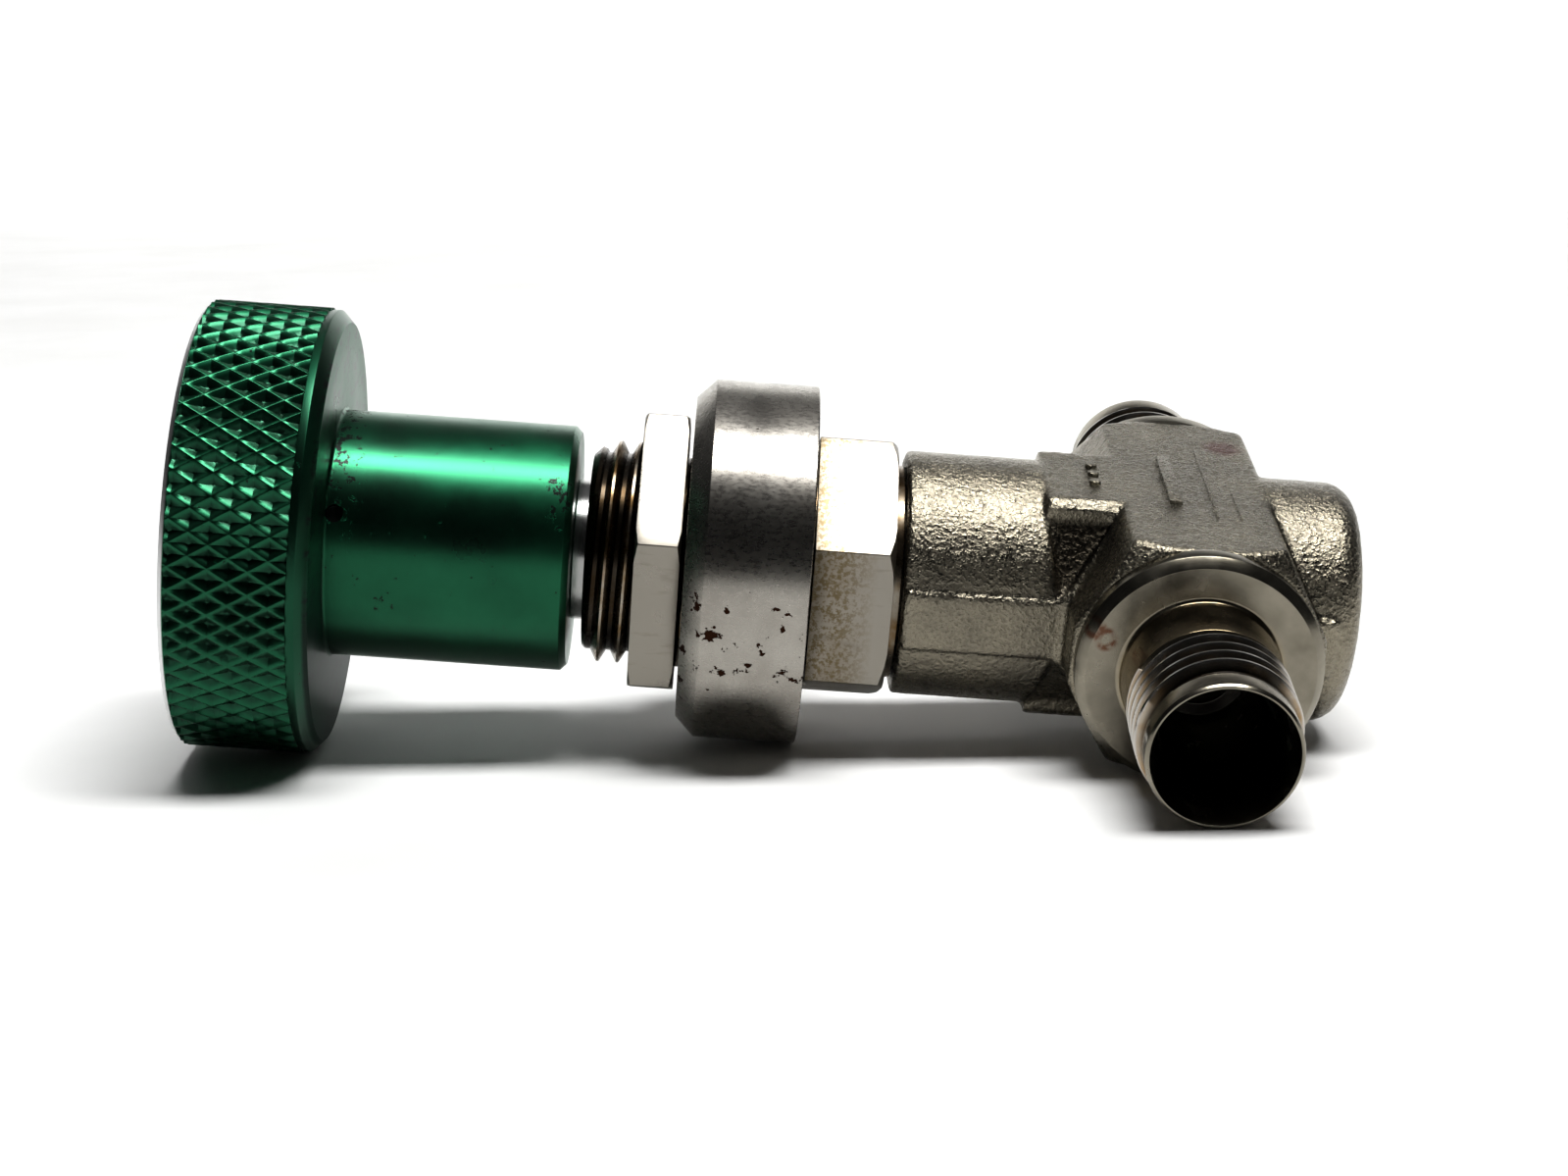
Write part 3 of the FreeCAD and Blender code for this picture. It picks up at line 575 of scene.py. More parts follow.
def pad_marks():
    """Plain raised bars and studs on the pad, and the two fine die lines beside them."""
    top = PAD_HEIGHT - 0.09
    stud_place, stud_radius, stud_height = -6.9, 0.42, 0.32
    shapes = [
        block("plain_bar", (-1.95, -4.2, top), (-1.05, 4.6, top + 0.34)),
        block("die_line", (1.08, -6.3, top), (1.24, 7.0, top + 0.17)),
        block("short_die_line", (2.73, -6.3, top), (2.89, -0.8, top + 0.17)),
    ]
    for along in (-1.2, 0.4, 2.0):
        stud = lathe("stud", [
            (top, 0, 0),
            (top, stud_radius, 0),
            (top + stud_height, stud_radius, 0.12),
            (top + stud_height, 0, 0),
        ], steps=24)
        upright = Matrix.Rotation(math.radians(-90), 4, "Y")
        stud.data.transform(Matrix.Translation((stud_place * MM, along * MM, 0)) @ upright)
        shapes.append(stud)
    return shade(bevel(combine("pad_marks", shapes), 0.06, 3), 60)


def forging():
    """Neck, end boss, port bar and pads fused and softened like a shot-blasted forging."""
    boss_edge, flats_reach, cut_height = 2.0, 8.75, 9.5
    neck = lathe("forging_neck", [
        (BODY_FRONT, 0, 0),
        (BODY_FRONT, NECK_RADIUS, 0.3),
        (1, NECK_RADIUS, 0),
        (1, 0, 0),
    ], steps=128)
    boss = lathe("forging_boss", [
        (0, 0, 0),
        (0, BOSS_RADIUS, 0),
        (BOSS_END, BOSS_RADIUS, boss_edge),
        (BOSS_END, 0, 0),
    ], steps=128)
    shapes = [
        neck,
        boss,
        port_bar(),
        pad_arm(),
        block("parting_flats", (BODY_FRONT + 0.3, -flats_reach, -PARTING_HALF),
              (BOSS_END - boss_edge, flats_reach, PARTING_HALF)),
    ]
    for across in (-1, 1):
        for up in (-1, 1):
            cut(neck, pocket(across, up))
            shapes.append(flash_ridge(across, up))
    for round_piece in (neck, boss):
        for up in (-1, 1):
            low, high = sorted((PAD_HEIGHT * up, cut_height * up))
            cut(round_piece, block("pad_flat", (PAD_FRONT, -9, low), (PAD_SIDE, 9, high)))
    body = combine("forged_body", shapes)
    grid = body.modifiers.new("fuse", "REMESH")
    grid.mode = "VOXEL"
    grid.voxel_size = FORGING_VOXEL * MM
    soften = body.modifiers.new("soften", "SMOOTH")
    soften.factor = 0.5
    soften.iterations = 4
    apply_modifiers(body)
    blasted(body)
    spigot_bore, bellows_bore, seat_bore = 6.6, 5.2, 1.6
    spigot_floor, bellows_floor, seat_floor = -13.0, -2.6, 3.8
    cut(body, lathe("stem_bore", [
        (BODY_FRONT - 1, 0, 0),
        (BODY_FRONT - 1, spigot_bore, 0),
        (spigot_floor, spigot_bore, 0),
        (spigot_floor, bellows_bore, 0),
        (bellows_floor, bellows_bore, 0),
        (bellows_floor, seat_bore, 0),
        (seat_floor, seat_bore, 0),
        (seat_floor, 0, 0),
    ], steps=96))
    pocket_floor, pocket_mouth, pocket_radius = 9.6, 14, 6.0
    for side in (-1, 1):
        cut(body, lathe("port_pocket", [
            (side * pocket_floor, 0, 0),
            (side * pocket_floor, pocket_radius, 0),
            (side * pocket_mouth, pocket_radius, 0),
            (side * pocket_mouth, 0, 0),
        ], steps=96, axis="Y"))
    return shade(body, 60)


def bellows():
    """Convoluted tube from the clamped flange to the ring on the stem."""
    crest, valley, wall = 4.6, 3.3, 0.4
    halves = 22
    step = (BELLOWS_END - BELLOWS_START) / halves
    outside = [(BELLOWS_START + step * half, crest if half % 2 else valley, 0)
               for half in range(halves + 1)]
    inside = [(along, radius - wall, 0) for along, radius, _ in reversed(outside)]
    return shade(lathe("bellows_folds", outside + inside, steps=96))


def port(side, name):
    """Turned end of the bar: collar, neck, thread, mouth and tube socket."""
    def at(distance):
        """A place this far from the stem axis, on this port's side."""
        return side * distance

    root_start, root_radius = 9.7, 5.9
    collar_back, collar_face, collar_radius = 11.6, 14.38, 8.48
    pitch, major, depth = 1.27, 5.55, 0.74
    thread_start, lead_start = 18.6, 24.3
    core, lip, socket, cross_passage, passage = 4.85, 5.14, 3.25, 2.3, 1.9

    def limit(along):
        """Greatest radius, for the run-out behind the thread and the lead at its end."""
        outward = abs(along)
        lead = major - max(outward - lead_start + 0.5, 0) * 0.75
        run_out = 5.4 + max(outward - thread_start, 0) * 0.4
        return max(min(lead, run_out), 4.95)

    profile = [
        (at(root_start), passage, 0),
        (at(root_start), root_radius, 0),
        (at(collar_back), root_radius, 0),
        (at(collar_back), 8.2, 0),
        (at(12.6), 8.45, 0.1),
        (at(13.7), collar_radius, 0.08),
        (at(collar_face), 7.85, 0.08),
        (at(collar_face), 5.45, 0.35),
        (at(thread_start + 0.2), 5.42, 0.1),
        (at(thread_start + 0.6), core, 0),
        (at(lead_start), core, 0),
        (at(lead_start + 0.6), lip, 0.1),
        (at(PORT_END - 0.25), lip, 0.1),
        (at(PORT_END), lip - 0.16, 0.04),
        (at(PORT_END), core, 0.04),
        (at(PORT_END - 5.9), socket, 0.1),
        (at(PORT_END - 13.0), socket, 0.05),
        (at(PORT_END - 13.0), cross_passage, 0.15),
        (at(PORT_END - 15.5), cross_passage, 0.1),
        (at(PORT_END - 15.5), passage, 0.1),
    ]
    turning = shade(lathe(name + "_turning", profile, steps=192, axis="Y"))
    first, last = sorted((at(thread_start + 0.2), at(lead_start + 0.5)))
    screw = threaded(name + "_screw", first, last, pitch, major, depth, limit, 4.7, axis="Y")
    return turning, shade(screw, 20)


# ---------------------------------------------------------------- materials

def set_stops(node, stops):
    """Fill a colour ramp; each stop is (place, colour), with a number meaning a grey."""
    elements = node.color_ramp.elements
    while len(elements) < len(stops):
        elements.new(0.5)
    for element, (at, colour) in zip(elements, stops):
        element.position = at
        grey = isinstance(colour, (int, float))
        element.color = (colour, colour, colour, 1) if grey else (*colour, 1)


class Surface:
    """A node material being written: each call adds one node and returns its output."""

    def __init__(self, name):
        self.material = bpy.data.materials.new(name)
        self.material.use_nodes = True
        self.tree = self.material.node_tree
        self.shader = self.tree.nodes["Principled BSDF"]
        coordinate = self.tree.nodes.new("ShaderNodeTexCoord")
        self.where = coordinate.outputs["Object"]
        parts = self.node("ShaderNodeSeparateXYZ", Vector=self.where)
        self.x, self.y, self.z = parts.outputs

    def node(self, kind, **inputs):
        """A new node with its sockets set; an underscore in a name stands for a space."""
        made = self.tree.nodes.new(kind)
        for name, value in inputs.items():
            self.set(made.inputs[name.replace("_", " ")], value)
        return made

    def set(self, socket, value):
        """Link an output to a socket, or give the socket a constant."""
        if isinstance(value, bpy.types.NodeSocket):
            self.tree.links.new(value, socket)
        else:
            socket.default_value = value

    def stretched(self, x, y, z):
        """Object coordinates scaled per axis, for streaks along or round a piece."""
        mapping = self.node("ShaderNodeMapping", Vector=self.where)
        mapping.inputs["Scale"].default_value = (x, y, z)
        return mapping.outputs["Vector"]

    def noise(self, scale, detail=3.0, roughness=0.55, vector=None):
        """Noise from 0 to 1; scale is in features per metre."""
        made = self.node("ShaderNodeTexNoise", Vector=vector or self.where, Scale=scale,
                         Detail=detail, Roughness=roughness)
        return made.outputs["Fac"]

    def ramp(self, value, *stops):
        """A value turned into a colour or a grey by the stops of a ramp."""
        made = self.node("ShaderNodeValToRGB", Fac=value)
        set_stops(made, stops)
        return made.outputs["Color"]

    def between(self, value, low, high, blur):
        """1 where a coordinate in metres lies between two places in millimetres, else 0."""
        rise = self.slope(value, low - blur, low + blur)
        fall = self.slope(value, high - blur, high + blur)
        return self.math("SUBTRACT", rise, fall)

    def slope(self, value, low, high):
        """0 below the first place in millimetres, 1 above the second."""
        made = self.node("ShaderNodeMapRange", Value=value)
        made.inputs["From Min"].default_value = low * MM
        made.inputs["From Max"].default_value = high * MM
        return made.outputs["Result"]

    def distance(self, centre):
        """Distance in metres from a point in millimetres."""
        made = self.tree.nodes.new("ShaderNodeVectorMath")
        made.operation = "DISTANCE"
        self.set(made.inputs[0], self.where)
        made.inputs[1].default_value = Vector(centre) * MM
        return made.outputs["Value"]

    def near(self, centre, reach, blur):
        """1 within some millimetres of a point, else 0."""
        outside = self.slope(self.distance(centre), reach - blur, reach + blur)
        return self.math("SUBTRACT", 1.0, outside)

    def radius(self, axis="X"):
        """Distance from the stem axis, or from the port axis."""
        side = self.y if axis == "X" else self.x
        squares = self.math("ADD", self.math("MULTIPLY", side, side),
                            self.math("MULTIPLY", self.z, self.z))
        return self.math("SQRT", squares)

    def mix(self, share, first, second):
        """The first colour where share is 0, the second where it is 1."""
        made = self.tree.nodes.new("ShaderNodeMix")
        made.data_type = "RGBA"
        self.set(made.inputs[0], share)
        for socket, value in ((made.inputs[6], first), (made.inputs[7], second)):
            self.set(socket, (*value, 1) if isinstance(value, tuple) else value)
        return made.outputs[2]

    def math(self, operation, first, second=0.0):
        """One step of arithmetic on numbers or outputs."""
        made = self.tree.nodes.new("ShaderNodeMath")
        made.operation = operation
        self.set(made.inputs[0], first)
        self.set(made.inputs[1], second)
        return made.outputs[0]

    def both(self, first, second):
        """The product of two masks, or of a mask and its strength."""
        return self.math("MULTIPLY", first, second)

    def bump(self, height, distance, strength=1.0, under=None):
        """Bump of a height in millimetres."""
        made = self.node("ShaderNodeBump", Height=height, Distance=distance * MM,
                         Strength=strength)
        if under:
            self.set(made.inputs["Normal"], under)
        return made.outputs["Normal"]

    def finish(self, colour, roughness, normal=None, metallic=1.0, **constants):
        """Link the results to the shader and return the finished material."""
        self.set(self.shader.inputs["Base Color"], colour)
        self.set(self.shader.inputs["Roughness"], roughness)
        self.shader.inputs["Metallic"].default_value = metallic
        if normal:
            self.set(self.shader.inputs["Normal"], normal)
        for name, value in constants.items():
            self.shader.inputs[name.replace("_", " ")].default_value = value
        return self.material


def green_anodised():
    """Emerald anodising over fine turning rings, worn bare on the front edge, with dark specks and
    painted shade.
    """
    look = Surface("green_anodised")
    rings = look.noise(900, 4, 0.7, look.stretched(9, 0.4, 0.4))
    clouds = look.noise(220, 4)
    colour = look.ramp(clouds, (0.3, (0.006, 0.09, 0.042)), (0.7, (0.011, 0.125, 0.06)))
    speckle = look.noise(1500, 5, 0.7)
    patch = look.near((HUB_END - 0.7, -6.3, 6.1), 1.5, 1.2)
    small_patch = look.near((KNOB_FRONT + 14.1, -8.7, -1.2), 0.6, 0.8)
    root = look.both(look.between(look.x, DISC_BACK - 0.4, DISC_BACK + 2.0, 0.9),
                     look.both(look.slope(look.radius(), HUB_RADIUS + 1.2, HUB_RADIUS),
                               look.slope(look.z, 1.5, 5.0)))
    marked = look.math("MAXIMUM", look.math("MAXIMUM", patch, small_patch), look.both(root, 0.8))
    level = look.math("ADD", speckle, look.both(marked, 0.17))
    specks = look.ramp(level, (0.66, 0.0), (0.7, 1.0))
    colour = look.mix(specks, colour, (0.004, 0.012, 0.008))
    at_back = look.between(look.x, DISC_BACK - 0.3, DISC_BACK + 0.1, 0.1)
    on_disc = look.slope(look.radius(), HUB_RADIUS + 4, HUB_RADIUS + 5)
    scuffs = look.both(look.ramp(look.noise(700, 5, 0.7, look.stretched(1, 0.7, 1.6)),
                                 (0.52, 0.0), (0.6, 1.0)),
                       look.both(at_back,
                                 look.slope(look.radius(), HUB_RADIUS + 0.3, HUB_RADIUS + 1.5)))
    colour = look.mix(look.both(scuffs, 0.85), colour, (0.012, 0.014, 0.02))
    # painted shade: the lower part of the back face is darkened in colour, and made rougher further
    # down
    shaded_back_face = look.both(at_back, look.slope(look.z, 5.0, -1.0))
    colour = look.mix(look.both(shaded_back_face, 0.85), colour, (0.002, 0.012, 0.008))
    bare = look.both(look.between(look.x, KNOB_FRONT - 1, KNOB_FRONT + 0.33, 0.06),
                     look.slope(look.radius(), KNOB_RADIUS - 0.6, KNOB_RADIUS - 0.45))
    colour = look.mix(bare, colour, (0.72, 0.72, 0.72))
    # painted shade: the smooth band between the knurl and the back chamfer is darkened where the
    # lamp would light it
    rim = look.both(look.between(look.x, KNURL_END, DISC_BACK - 0.1, 0.1), on_disc)
    colour = look.mix(look.both(rim, 0.45), colour, (0.002, 0.03, 0.016))
    # painted shade: the knurl hollows are darkened below the ridge tops
    hollows = look.both(look.between(look.x, KNURL_START, KNURL_END, 0.1),
                        look.both(look.slope(look.radius(), KNOB_RADIUS - 0.08, KNOB_RADIUS - 0.3),
                                  on_disc))
    colour = look.mix(look.both(hollows, 0.7), colour, (0.003, 0.035, 0.018))
    shine = look.ramp(clouds, (0.3, 0.27), (0.7, 0.36))
    shine = look.mix(on_disc, shine, (0.36, 0.36, 0.36))
    shine = look.mix(shaded_back_face, shine, (0.75, 0.75, 0.75))
    shine = look.mix(specks, shine, (0.7, 0.7, 0.7))
    normal = look.bump(specks, -0.04, 0.8, look.bump(rings, 0.012, 0.5))
    return look.finish(colour, shine, normal, Anisotropic=0.35, Coat_Weight=0.4,
                       Coat_Roughness=0.3)


def forged_steel():
    """Grainy forged stainless steel with a warm tint, painted shade in the pocket and a faint rust
    spot.
    """
    look = Surface("forged_steel")
    grain = look.noise(3200, 3, 0.6)
    fine = look.noise(8000, 2, 0.6)
    broad = look.noise(160, 3)
    colour = look.ramp(broad, (0.3, (0.215, 0.198, 0.16)), (0.7, (0.31, 0.283, 0.222)))
    colour = look.mix(look.ramp(grain, (0.3, 0.3), (0.5, 0.0)), colour, (0.11, 0.095, 0.07))
    # painted shade: the pocket under the pad arm, beside the port bar, is darkened
    recess = look.both(look.between(look.x, -10.2, -5.0, 0.4),
                       look.between(look.z, 2.6, 7.6, 0.6))
    recess = look.both(recess, look.both(look.slope(look.y, -5.1, -5.4),
                                         look.slope(look.radius(), 9.0, 8.75)))
    colour = look.mix(look.both(recess, 0.92), colour, (0.03, 0.025, 0.018))
    rust = look.both(look.near((3.3, 7.7, 8.3), 1.3, 0.5), look.ramp(fine, (0.35, 0.5), (0.6, 1)))
    colour = look.mix(rust, colour, (0.12, 0.035, 0.03))
    shine = look.ramp(grain, (0.35, 0.35), (0.65, 0.18))
    normal = look.bump(grain, 0.13, 1.0, look.bump(fine, 0.025, 0.8))
    return look.finish(colour, shine, normal)


def turned_steel():
    """Turned stainless ring: fine rings, dull clouds, and rust pits low on its front."""
    look = Surface("turned_steel")
    rings = look.noise(800, 3, 0.6, look.stretched(5, 0.6, 0.6))
    clouds = look.noise(260, 4)
    grain = look.noise(3600, 3, 0.6, look.stretched(0.6, 1.3, 1.3))
    colour = look.ramp(clouds, (0.3, (0.33, 0.31, 0.28)), (0.7, (0.43, 0.41, 0.375)))
    low = look.both(look.between(look.z, -5.6, 2.6, 0.8), look.slope(look.y, 1, -1))
    level = look.math("ADD", look.noise(800, 4, 0.6), look.both(low, 0.15))
    pits = look.ramp(level, (0.75, 0.0), (0.765, 1.0))
    colour = look.mix(pits, colour, (0.03, 0.012, 0.006))
    shine = look.ramp(grain, (0.3, 0.24), (0.7, 0.33))
    normal = look.bump(grain, 0.002, 0.3, look.bump(rings, 0.006, 0.4))
    normal = look.bump(pits, -0.08, 0.9, normal)
    return look.finish(colour, shine, normal, Anisotropic=0.3)


def port_steel():
    """Machined port ends: bright turning with brown rust rings on the collar's face, and painted
    shade in the mouth.
    """
    look = Surface("port_steel")
    rings = look.noise(800, 3, 0.6, look.stretched(0.6, 5, 0.6))
    clouds = look.noise(300, 4)
    colour = look.ramp(clouds, (0.3, (0.19, 0.175, 0.14)), (0.7, (0.34, 0.315, 0.26)))
    golden = look.both(look.between(look.radius("Y"), 5.3, 5.7, 0.2),
                       look.slope(look.math("ABSOLUTE", look.y), 14.2, 14.8))
    colour = look.mix(look.both(golden, 0.45), colour, (0.42, 0.30, 0.13))
    stains = [look.math("ABSOLUTE", look.math("SUBTRACT", look.distance(centre), 0.0006))
              for centre in ((-7.5, -14.0, 2.9), (-6.7, -14.38, 2.2))]
    rust = look.both(look.slope(look.math("MINIMUM", *stains), 0.35, 0.1),
                     look.ramp(look.noise(1400, 3), (0.4, 0.2), (0.55, 1.0)))
    colour = look.mix(look.both(rust, 0.8), colour, (0.13, 0.045, 0.02))
    # painted shade: the inside of the mouth is darkened from a little way in
    inside = look.both(look.slope(look.radius("Y"), 4.85, 4.7),
                       look.slope(look.math("ABSOLUTE", look.y), PORT_END - 0.6, PORT_END - 3.5))
    colour = look.mix(look.both(inside, 0.9), colour, (0.03, 0.028, 0.025))
    shine = look.ramp(clouds, (0.3, 0.18), (0.7, 0.3))
    return look.finish(colour, shine, look.bump(rings, 0.012, 0.4), Anisotropic=0.2)


def port_thread():
    """Cut port thread: a golden film on the flanks, painted highlight on the crests and painted
    shade in the roots.
    """
    look = Surface("port_thread")
    film = look.ramp(look.noise(500, 4, 0.6), (0.35, 0.0), (0.65, 1.0))
    colour = look.mix(film, (0.42, 0.39, 0.34), (0.34, 0.23, 0.12))
    # painted highlight: the crests are lighter than the flanks
    crest = look.slope(look.radius("Y"), 5.35, 5.5)
    colour = look.mix(crest, colour, (0.55, 0.53, 0.5))
    # painted shade: the roots are darkened below the crests
    root_shade = look.slope(look.radius("Y"), 5.3, 4.95)
    colour = look.mix(look.both(root_shade, 0.92), colour, (0.03, 0.022, 0.015))
    return look.finish(colour, look.ramp(look.noise(700, 2), (0.3, 0.18), (0.7, 0.28)))


def hex_steel():
    """Milled hexagon: faint cutter lines and a straw-coloured film in patches."""
    look = Surface("hex_steel")
    lines = look.noise(900, 3, 0.6, look.stretched(3, 0.8, 0.8))
    scratches = look.noise(1500, 3, 0.6, look.stretched(0.25, 2, 1.2))
    left = look.between(look.x, HEX_FRONT - 1, HEX_FRONT + 3.2, 1.3)
    film = look.both(look.ramp(look.noise(3200, 4, 0.7), (0.46, 0.0), (0.56, 1.0)), left)
    stain = look.both(left, look.ramp(look.noise(420, 3), (0.3, 0.2), (0.6, 0.8)))
    colour = look.mix(stain, (0.315, 0.295, 0.26), (0.24, 0.21, 0.165))
    colour = look.mix(look.both(film, 0.85), colour, (0.15, 0.115, 0.06))
    colour = look.mix(look.ramp(scratches, (0.3, 0.35), (0.45, 0.0)), colour, (0.2, 0.18, 0.15))
    shine = look.ramp(look.noise(240, 3), (0.3, 0.26), (0.7, 0.38))
    normal = look.bump(scratches, 0.01, 0.4, look.bump(lines, 0.012, 0.4))
    return look.finish(colour, shine, normal)


def thread_steel():
    """Rolled thread with painted shade in its roots and a brown film on its flanks."""
    look = Surface("thread_steel")
    film = look.ramp(look.noise(420, 4, 0.6), (0.35, 0.0), (0.6, 1.0))
    colour = look.mix(film, (0.36, 0.33, 0.28), (0.2, 0.13, 0.06))
    # painted shade: darker towards the roots, and over everything turned smaller than the crests
    root_shade = look.slope(look.radius(), 7.75, 7.3)
    colour = look.mix(look.both(root_shade, 0.9), colour, (0.02, 0.015, 0.01))
    return look.finish(colour, look.ramp(look.noise(700, 2), (0.3, 0.2), (0.7, 0.32)))


def plain_metal(name, colour, roughness, darker=0.75):
    """A machined inner piece with faint clouds and turning marks."""
    look = Surface(name)
    clouds = look.noise(500, 3)
    tone = look.ramp(clouds, (0.3, tuple(darker * part for part in colour)), (0.7, colour))
    rings = look.noise(900, 2, 0.5, look.stretched(6, 0.8, 0.8))
    shine = look.ramp(clouds, (0.3, roughness), (0.7, roughness + 0.1))
    return look.finish(tone, shine, look.bump(rings, 0.01, 0.4))


def rubber():
    """Matt black nitrile rubber."""
    look = Surface("black_rubber")
    grain = look.noise(3000, 3)
    colour = look.ramp(grain, (0.3, 0.012), (0.7, 0.022))
    return look.finish(colour, look.ramp(grain, (0.3, 0.5), (0.7, 0.62)),
                       look.bump(grain, 0.02, 0.4), metallic=0.0)


def paper():
    """Pale matt sheet that the valve lies on; it can't be seen from underneath."""
    look = Surface("pale_paper")
    colour = look.ramp(look.noise(35, 4), (0.3, (0.80, 0.80, 0.79)), (0.7, (0.85, 0.85, 0.845)))
    look.finish(colour, 0.85, look.bump(look.noise(900, 3), 0.03, 0.3), metallic=0.0,
                Specular_IOR_Level=0.2)
    clear = look.tree.nodes.new("ShaderNodeBsdfTransparent")
    side = look.tree.nodes.new("ShaderNodeNewGeometry")
    blend = look.tree.nodes.new("ShaderNodeMixShader")
    output = look.tree.nodes["Material Output"]
    look.tree.links.new(side.outputs["Backfacing"], blend.inputs[0])
    look.tree.links.new(look.shader.outputs[0], blend.inputs[1])
    look.tree.links.new(clear.outputs[0], blend.inputs[2])
    look.tree.links.new(blend.outputs[0], output.inputs["Surface"])
    return look.material


MATERIALS = {
    "green_anodised": green_anodised(),
    "forged_steel": forged_steel(),
    "turned_steel": turned_steel(),
    "port_steel": port_steel(),
    "port_thread": port_thread(),
    "hex_steel": hex_steel(),
    "thread_steel": thread_steel(),
    "ground_steel": plain_metal("ground_steel", (0.5, 0.5, 0.49), 0.16),
    "spring_steel": plain_metal("spring_steel", (0.04, 0.04, 0.04), 0.4),
    "bronze": plain_metal("bronze", (0.5, 0.31, 0.13), 0.3),
    "bellows_steel": plain_metal("bellows_steel", (0.5, 0.49, 0.46), 0.25),
    "black_rubber": rubber(),
    "silver_plate": plain_metal("silver_plate", (0.7, 0.69, 0.65), 0.2),
    "hard_steel": plain_metal("hard_steel", (0.55, 0.55, 0.56), 0.15),
}


def dress(piece, body, slot, material, *nodes):
    """Give a piece its material and body, and hide the CAD nodes that it stands for. The slot
    argument is not used.
    """
    piece.data.materials.clear()
    piece.data.materials.append(MATERIALS[material])
    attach(piece, body)
    if nodes:
        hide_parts(*nodes)


dress(knob(), "handle", "green_anodised", "green_anodised", "knob")
dress(actuator(), "handle", "ground_steel", "ground_steel", "actuator_stem")
dress(panel_nut(), "nut", "hex_steel", "hex_steel", "panel_nut")
dress(panel_ring(), "body", "turned_steel", "turned_steel", "panel_ring")
tube, screw, blank = bonnet()
dress(tube, "body", "hex_steel", "thread_steel", "bonnet")
dress(screw, "body", "thread_steel", "thread_steel")
dress(blank, "body", "hex_steel", "hex_steel")
dress(forging(), "body", "forged_steel", "forged_steel", "valve_body")
dress(pad_marks(), "body", "forged_steel", "forged_steel")
for side, name in ((-1, "outlet_port"), (1, "inlet_port")):
    turning, screw = port(side, name)
    dress(turning, "body", "forged_steel", "port_steel")
    dress(screw, "body", "thread_steel", "port_thread")
folds = bellows()
folds.data.materials.append(MATERIALS["bellows_steel"])
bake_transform(folds)
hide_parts("bellows")
slots = {entry["node"]: entry["material_slot"] for entry in frame["record"]["subparts"]}
for name, node in frame["nodes"].items():
    node.data.materials.clear()
    node.data.materials.append(MATERIALS[slots[name]])


# ---------------------------------------------------------------- floor, light and camera

FLOOR_NORMAL = Vector((-0.0894, 0.2004, 0.9757)).normalized()
FLOOR_DROP = 10.38
FLOOR_AHEAD = (Vector((0, 1, 0)) - FLOOR_NORMAL * FLOOR_NORMAL.y).normalized()
FLOOR_RIGHT = FLOOR_AHEAD.cross(FLOOR_NORMAL)


def on_floor(right, ahead, up):
    """A point in millimetres from its place on the tilted floor."""
    return FLOOR_RIGHT * right + FLOOR_AHEAD * ahead + FLOOR_NORMAL * (up - FLOOR_DROP)


def backdrop():
    """Flat sheet that curves up far behind the valve."""
    front, flat, bend, top, side = -1500, 1100, 600, 1500, 2500
    rows = [(front, 0), (flat, 0)]
    rows += [(flat + bend * math.sin(math.radians(turn)), bend * (1 - math.cos(math.radians(turn))))
             for turn in range(6, 91, 6)]
    rows.append((flat + bend, top))
    verts = [on_floor(right, ahead, up) for ahead, up in rows for right in (-side, side)]
    faces = [(2 * row, 2 * row + 1, 2 * row + 3, 2 * row + 2) for row in range(len(rows) - 1)]
    sheet = new_object("paper_sheet", verts, faces)
    shade(sheet, 60)
    sheet.data.materials.append(paper())


def area_light(name, at, aim, width, length, power):
    """A soft light at one place over the floor, aimed at another; width runs left to right."""
    data = bpy.data.lights.new(name, "AREA")
    data.shape = "RECTANGLE"
    data.size = width * MM
    data.size_y = length * MM
    data.energy = power
    lamp = bpy.data.objects.new(name, data)
    lamp.location = on_floor(*at) * MM
    back = (lamp.location - on_floor(*aim) * MM).normalized()
    right = FLOOR_AHEAD.cross(back).normalized()
    lamp.rotation_mode = "QUATERNION"
    axes = Matrix((right, back.cross(right), back)).transposed()
    lamp.rotation_quaternion = axes.to_quaternion()
    bpy.context.scene.collection.objects.link(lamp)
    return lamp


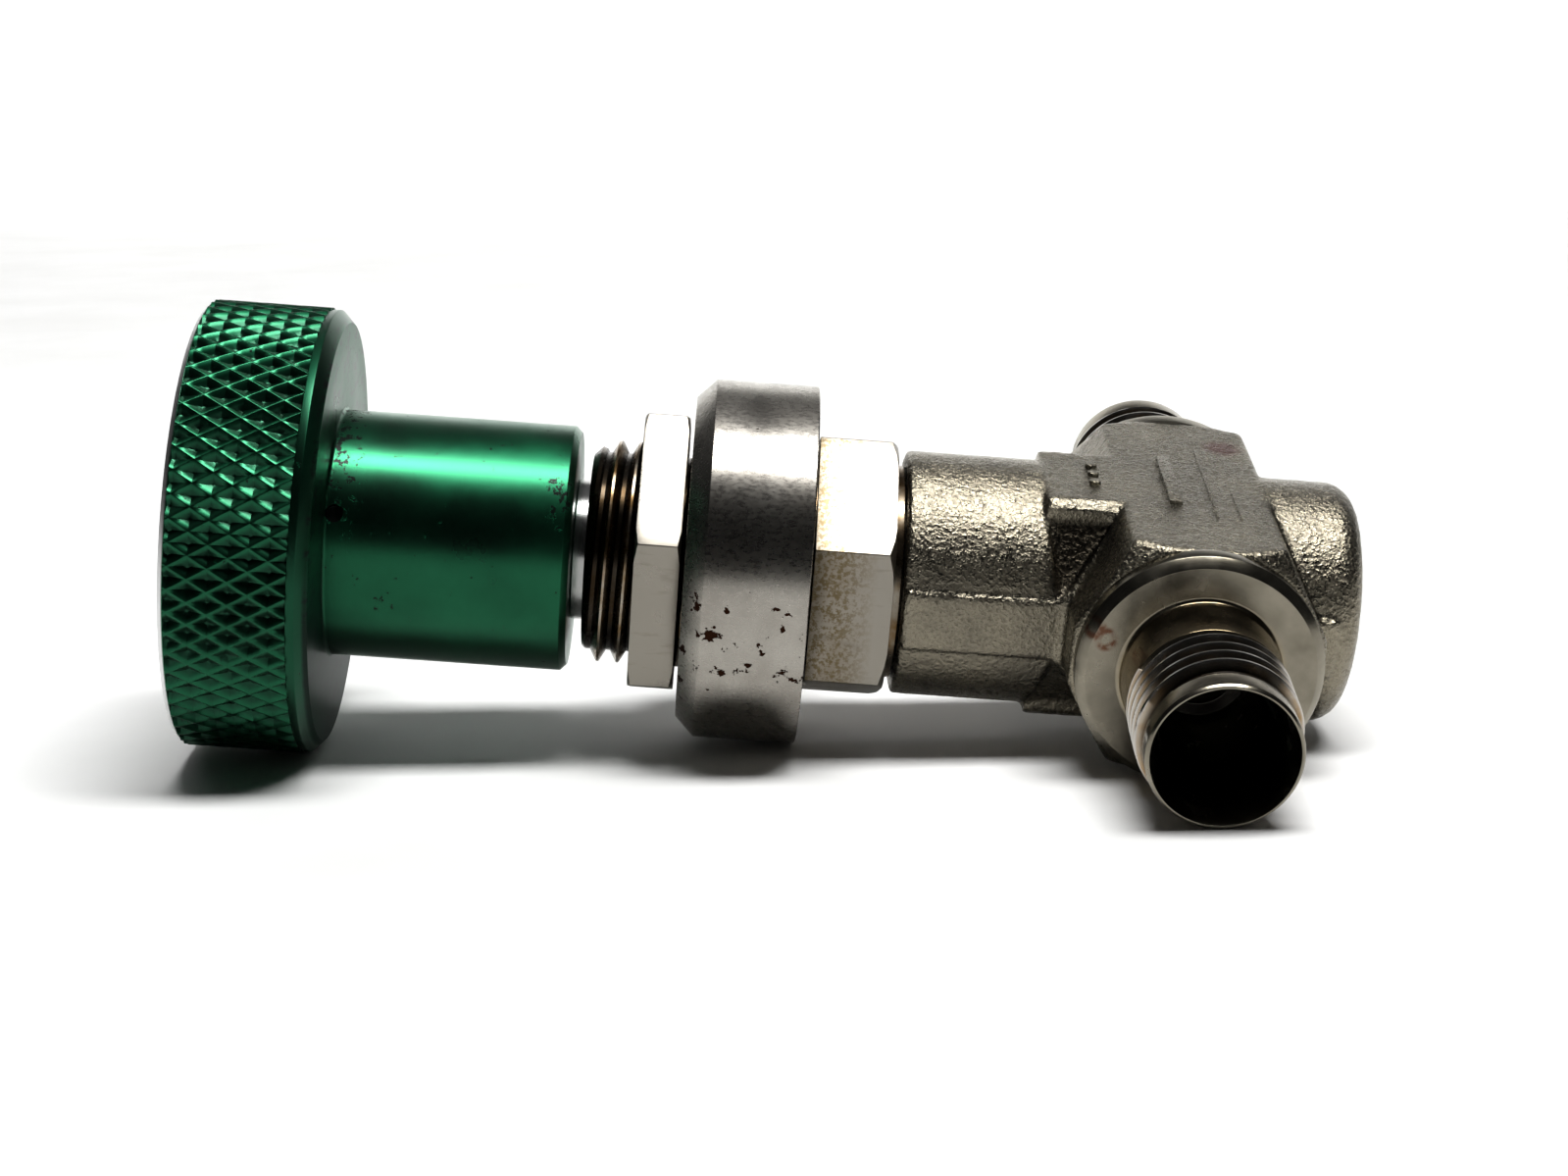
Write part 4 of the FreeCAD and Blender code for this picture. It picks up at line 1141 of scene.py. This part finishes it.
def room():
    """A dim room, dark in front of the valve and lighter behind and over it."""
    world = bpy.data.worlds.new("room")
    world.use_nodes = True
    nodes, links = world.node_tree.nodes, world.node_tree.links
    direction = nodes.new("ShaderNodeTexCoord")
    height = nodes.new("ShaderNodeVectorMath")
    height.operation = "DOT_PRODUCT"
    height.inputs[1].default_value = FLOOR_NORMAL * 0.8 + FLOOR_AHEAD * 0.6
    shade_of = nodes.new("ShaderNodeValToRGB")
    greys = ((0.0, 0.015), (0.35, 0.02), (0.6, 0.08), (0.8, 0.16), (1.0, 0.2))
    set_stops(shade_of, [(at, (grey, grey, grey * 1.02)) for at, grey in greys])
    links.new(direction.outputs["Generated"], height.inputs[0])
    links.new(height.outputs["Value"], shade_of.inputs["Fac"])
    links.new(shade_of.outputs["Color"], nodes["Background"].inputs["Color"])
    nodes["Background"].inputs["Strength"].default_value = 1.0
    bpy.context.scene.world = world


def studio():
    """Paper, two lights, the dim room and the picture's tone."""
    backdrop()
    area_light("ceiling_light", at=(80, -90, 700), aim=(20, 0, 10), width=480, length=190,
               power=6.6)
    fill = area_light("fill_light", at=(-20, 1050, 800), aim=(-20, 1500, 0), width=2000,
                      length=700, power=22)
    # the fill lights the paper and softens its shadows, but makes no highlight of its own
    fill.visible_glossy = False
    room()
    view = bpy.context.scene.view_settings
    view.view_transform = "Standard"
    view.gamma = 0.8


def camera():
    """Camera placed and aimed as a hand-held picture of the valve was."""
    data = bpy.data.cameras.new("view")
    data.sensor_width = 36
    data.lens = CAMERA_LENS
    data.clip_start = 0.01
    lens = bpy.data.objects.new("view", data)
    lens.location = Vector(CAMERA_PLACE) * MM
    right, up, back = [Vector(axis) for axis in CAMERA_AXES]
    lens.rotation_mode = "QUATERNION"
    lens.rotation_quaternion = Matrix((right, up, back)).transposed().to_quaternion()
    bpy.context.scene.collection.objects.link(lens)
    bpy.context.scene.camera = lens


CAMERA_LENS = 66.15
CAMERA_PLACE = (-33.68, -190.51, 80.13)
CAMERA_AXES = ((0.9971, 0.0034, 0.0758), (-0.0709, 0.3963, 0.9154), (-0.0269, -0.9181, 0.3954))

studio()
camera()
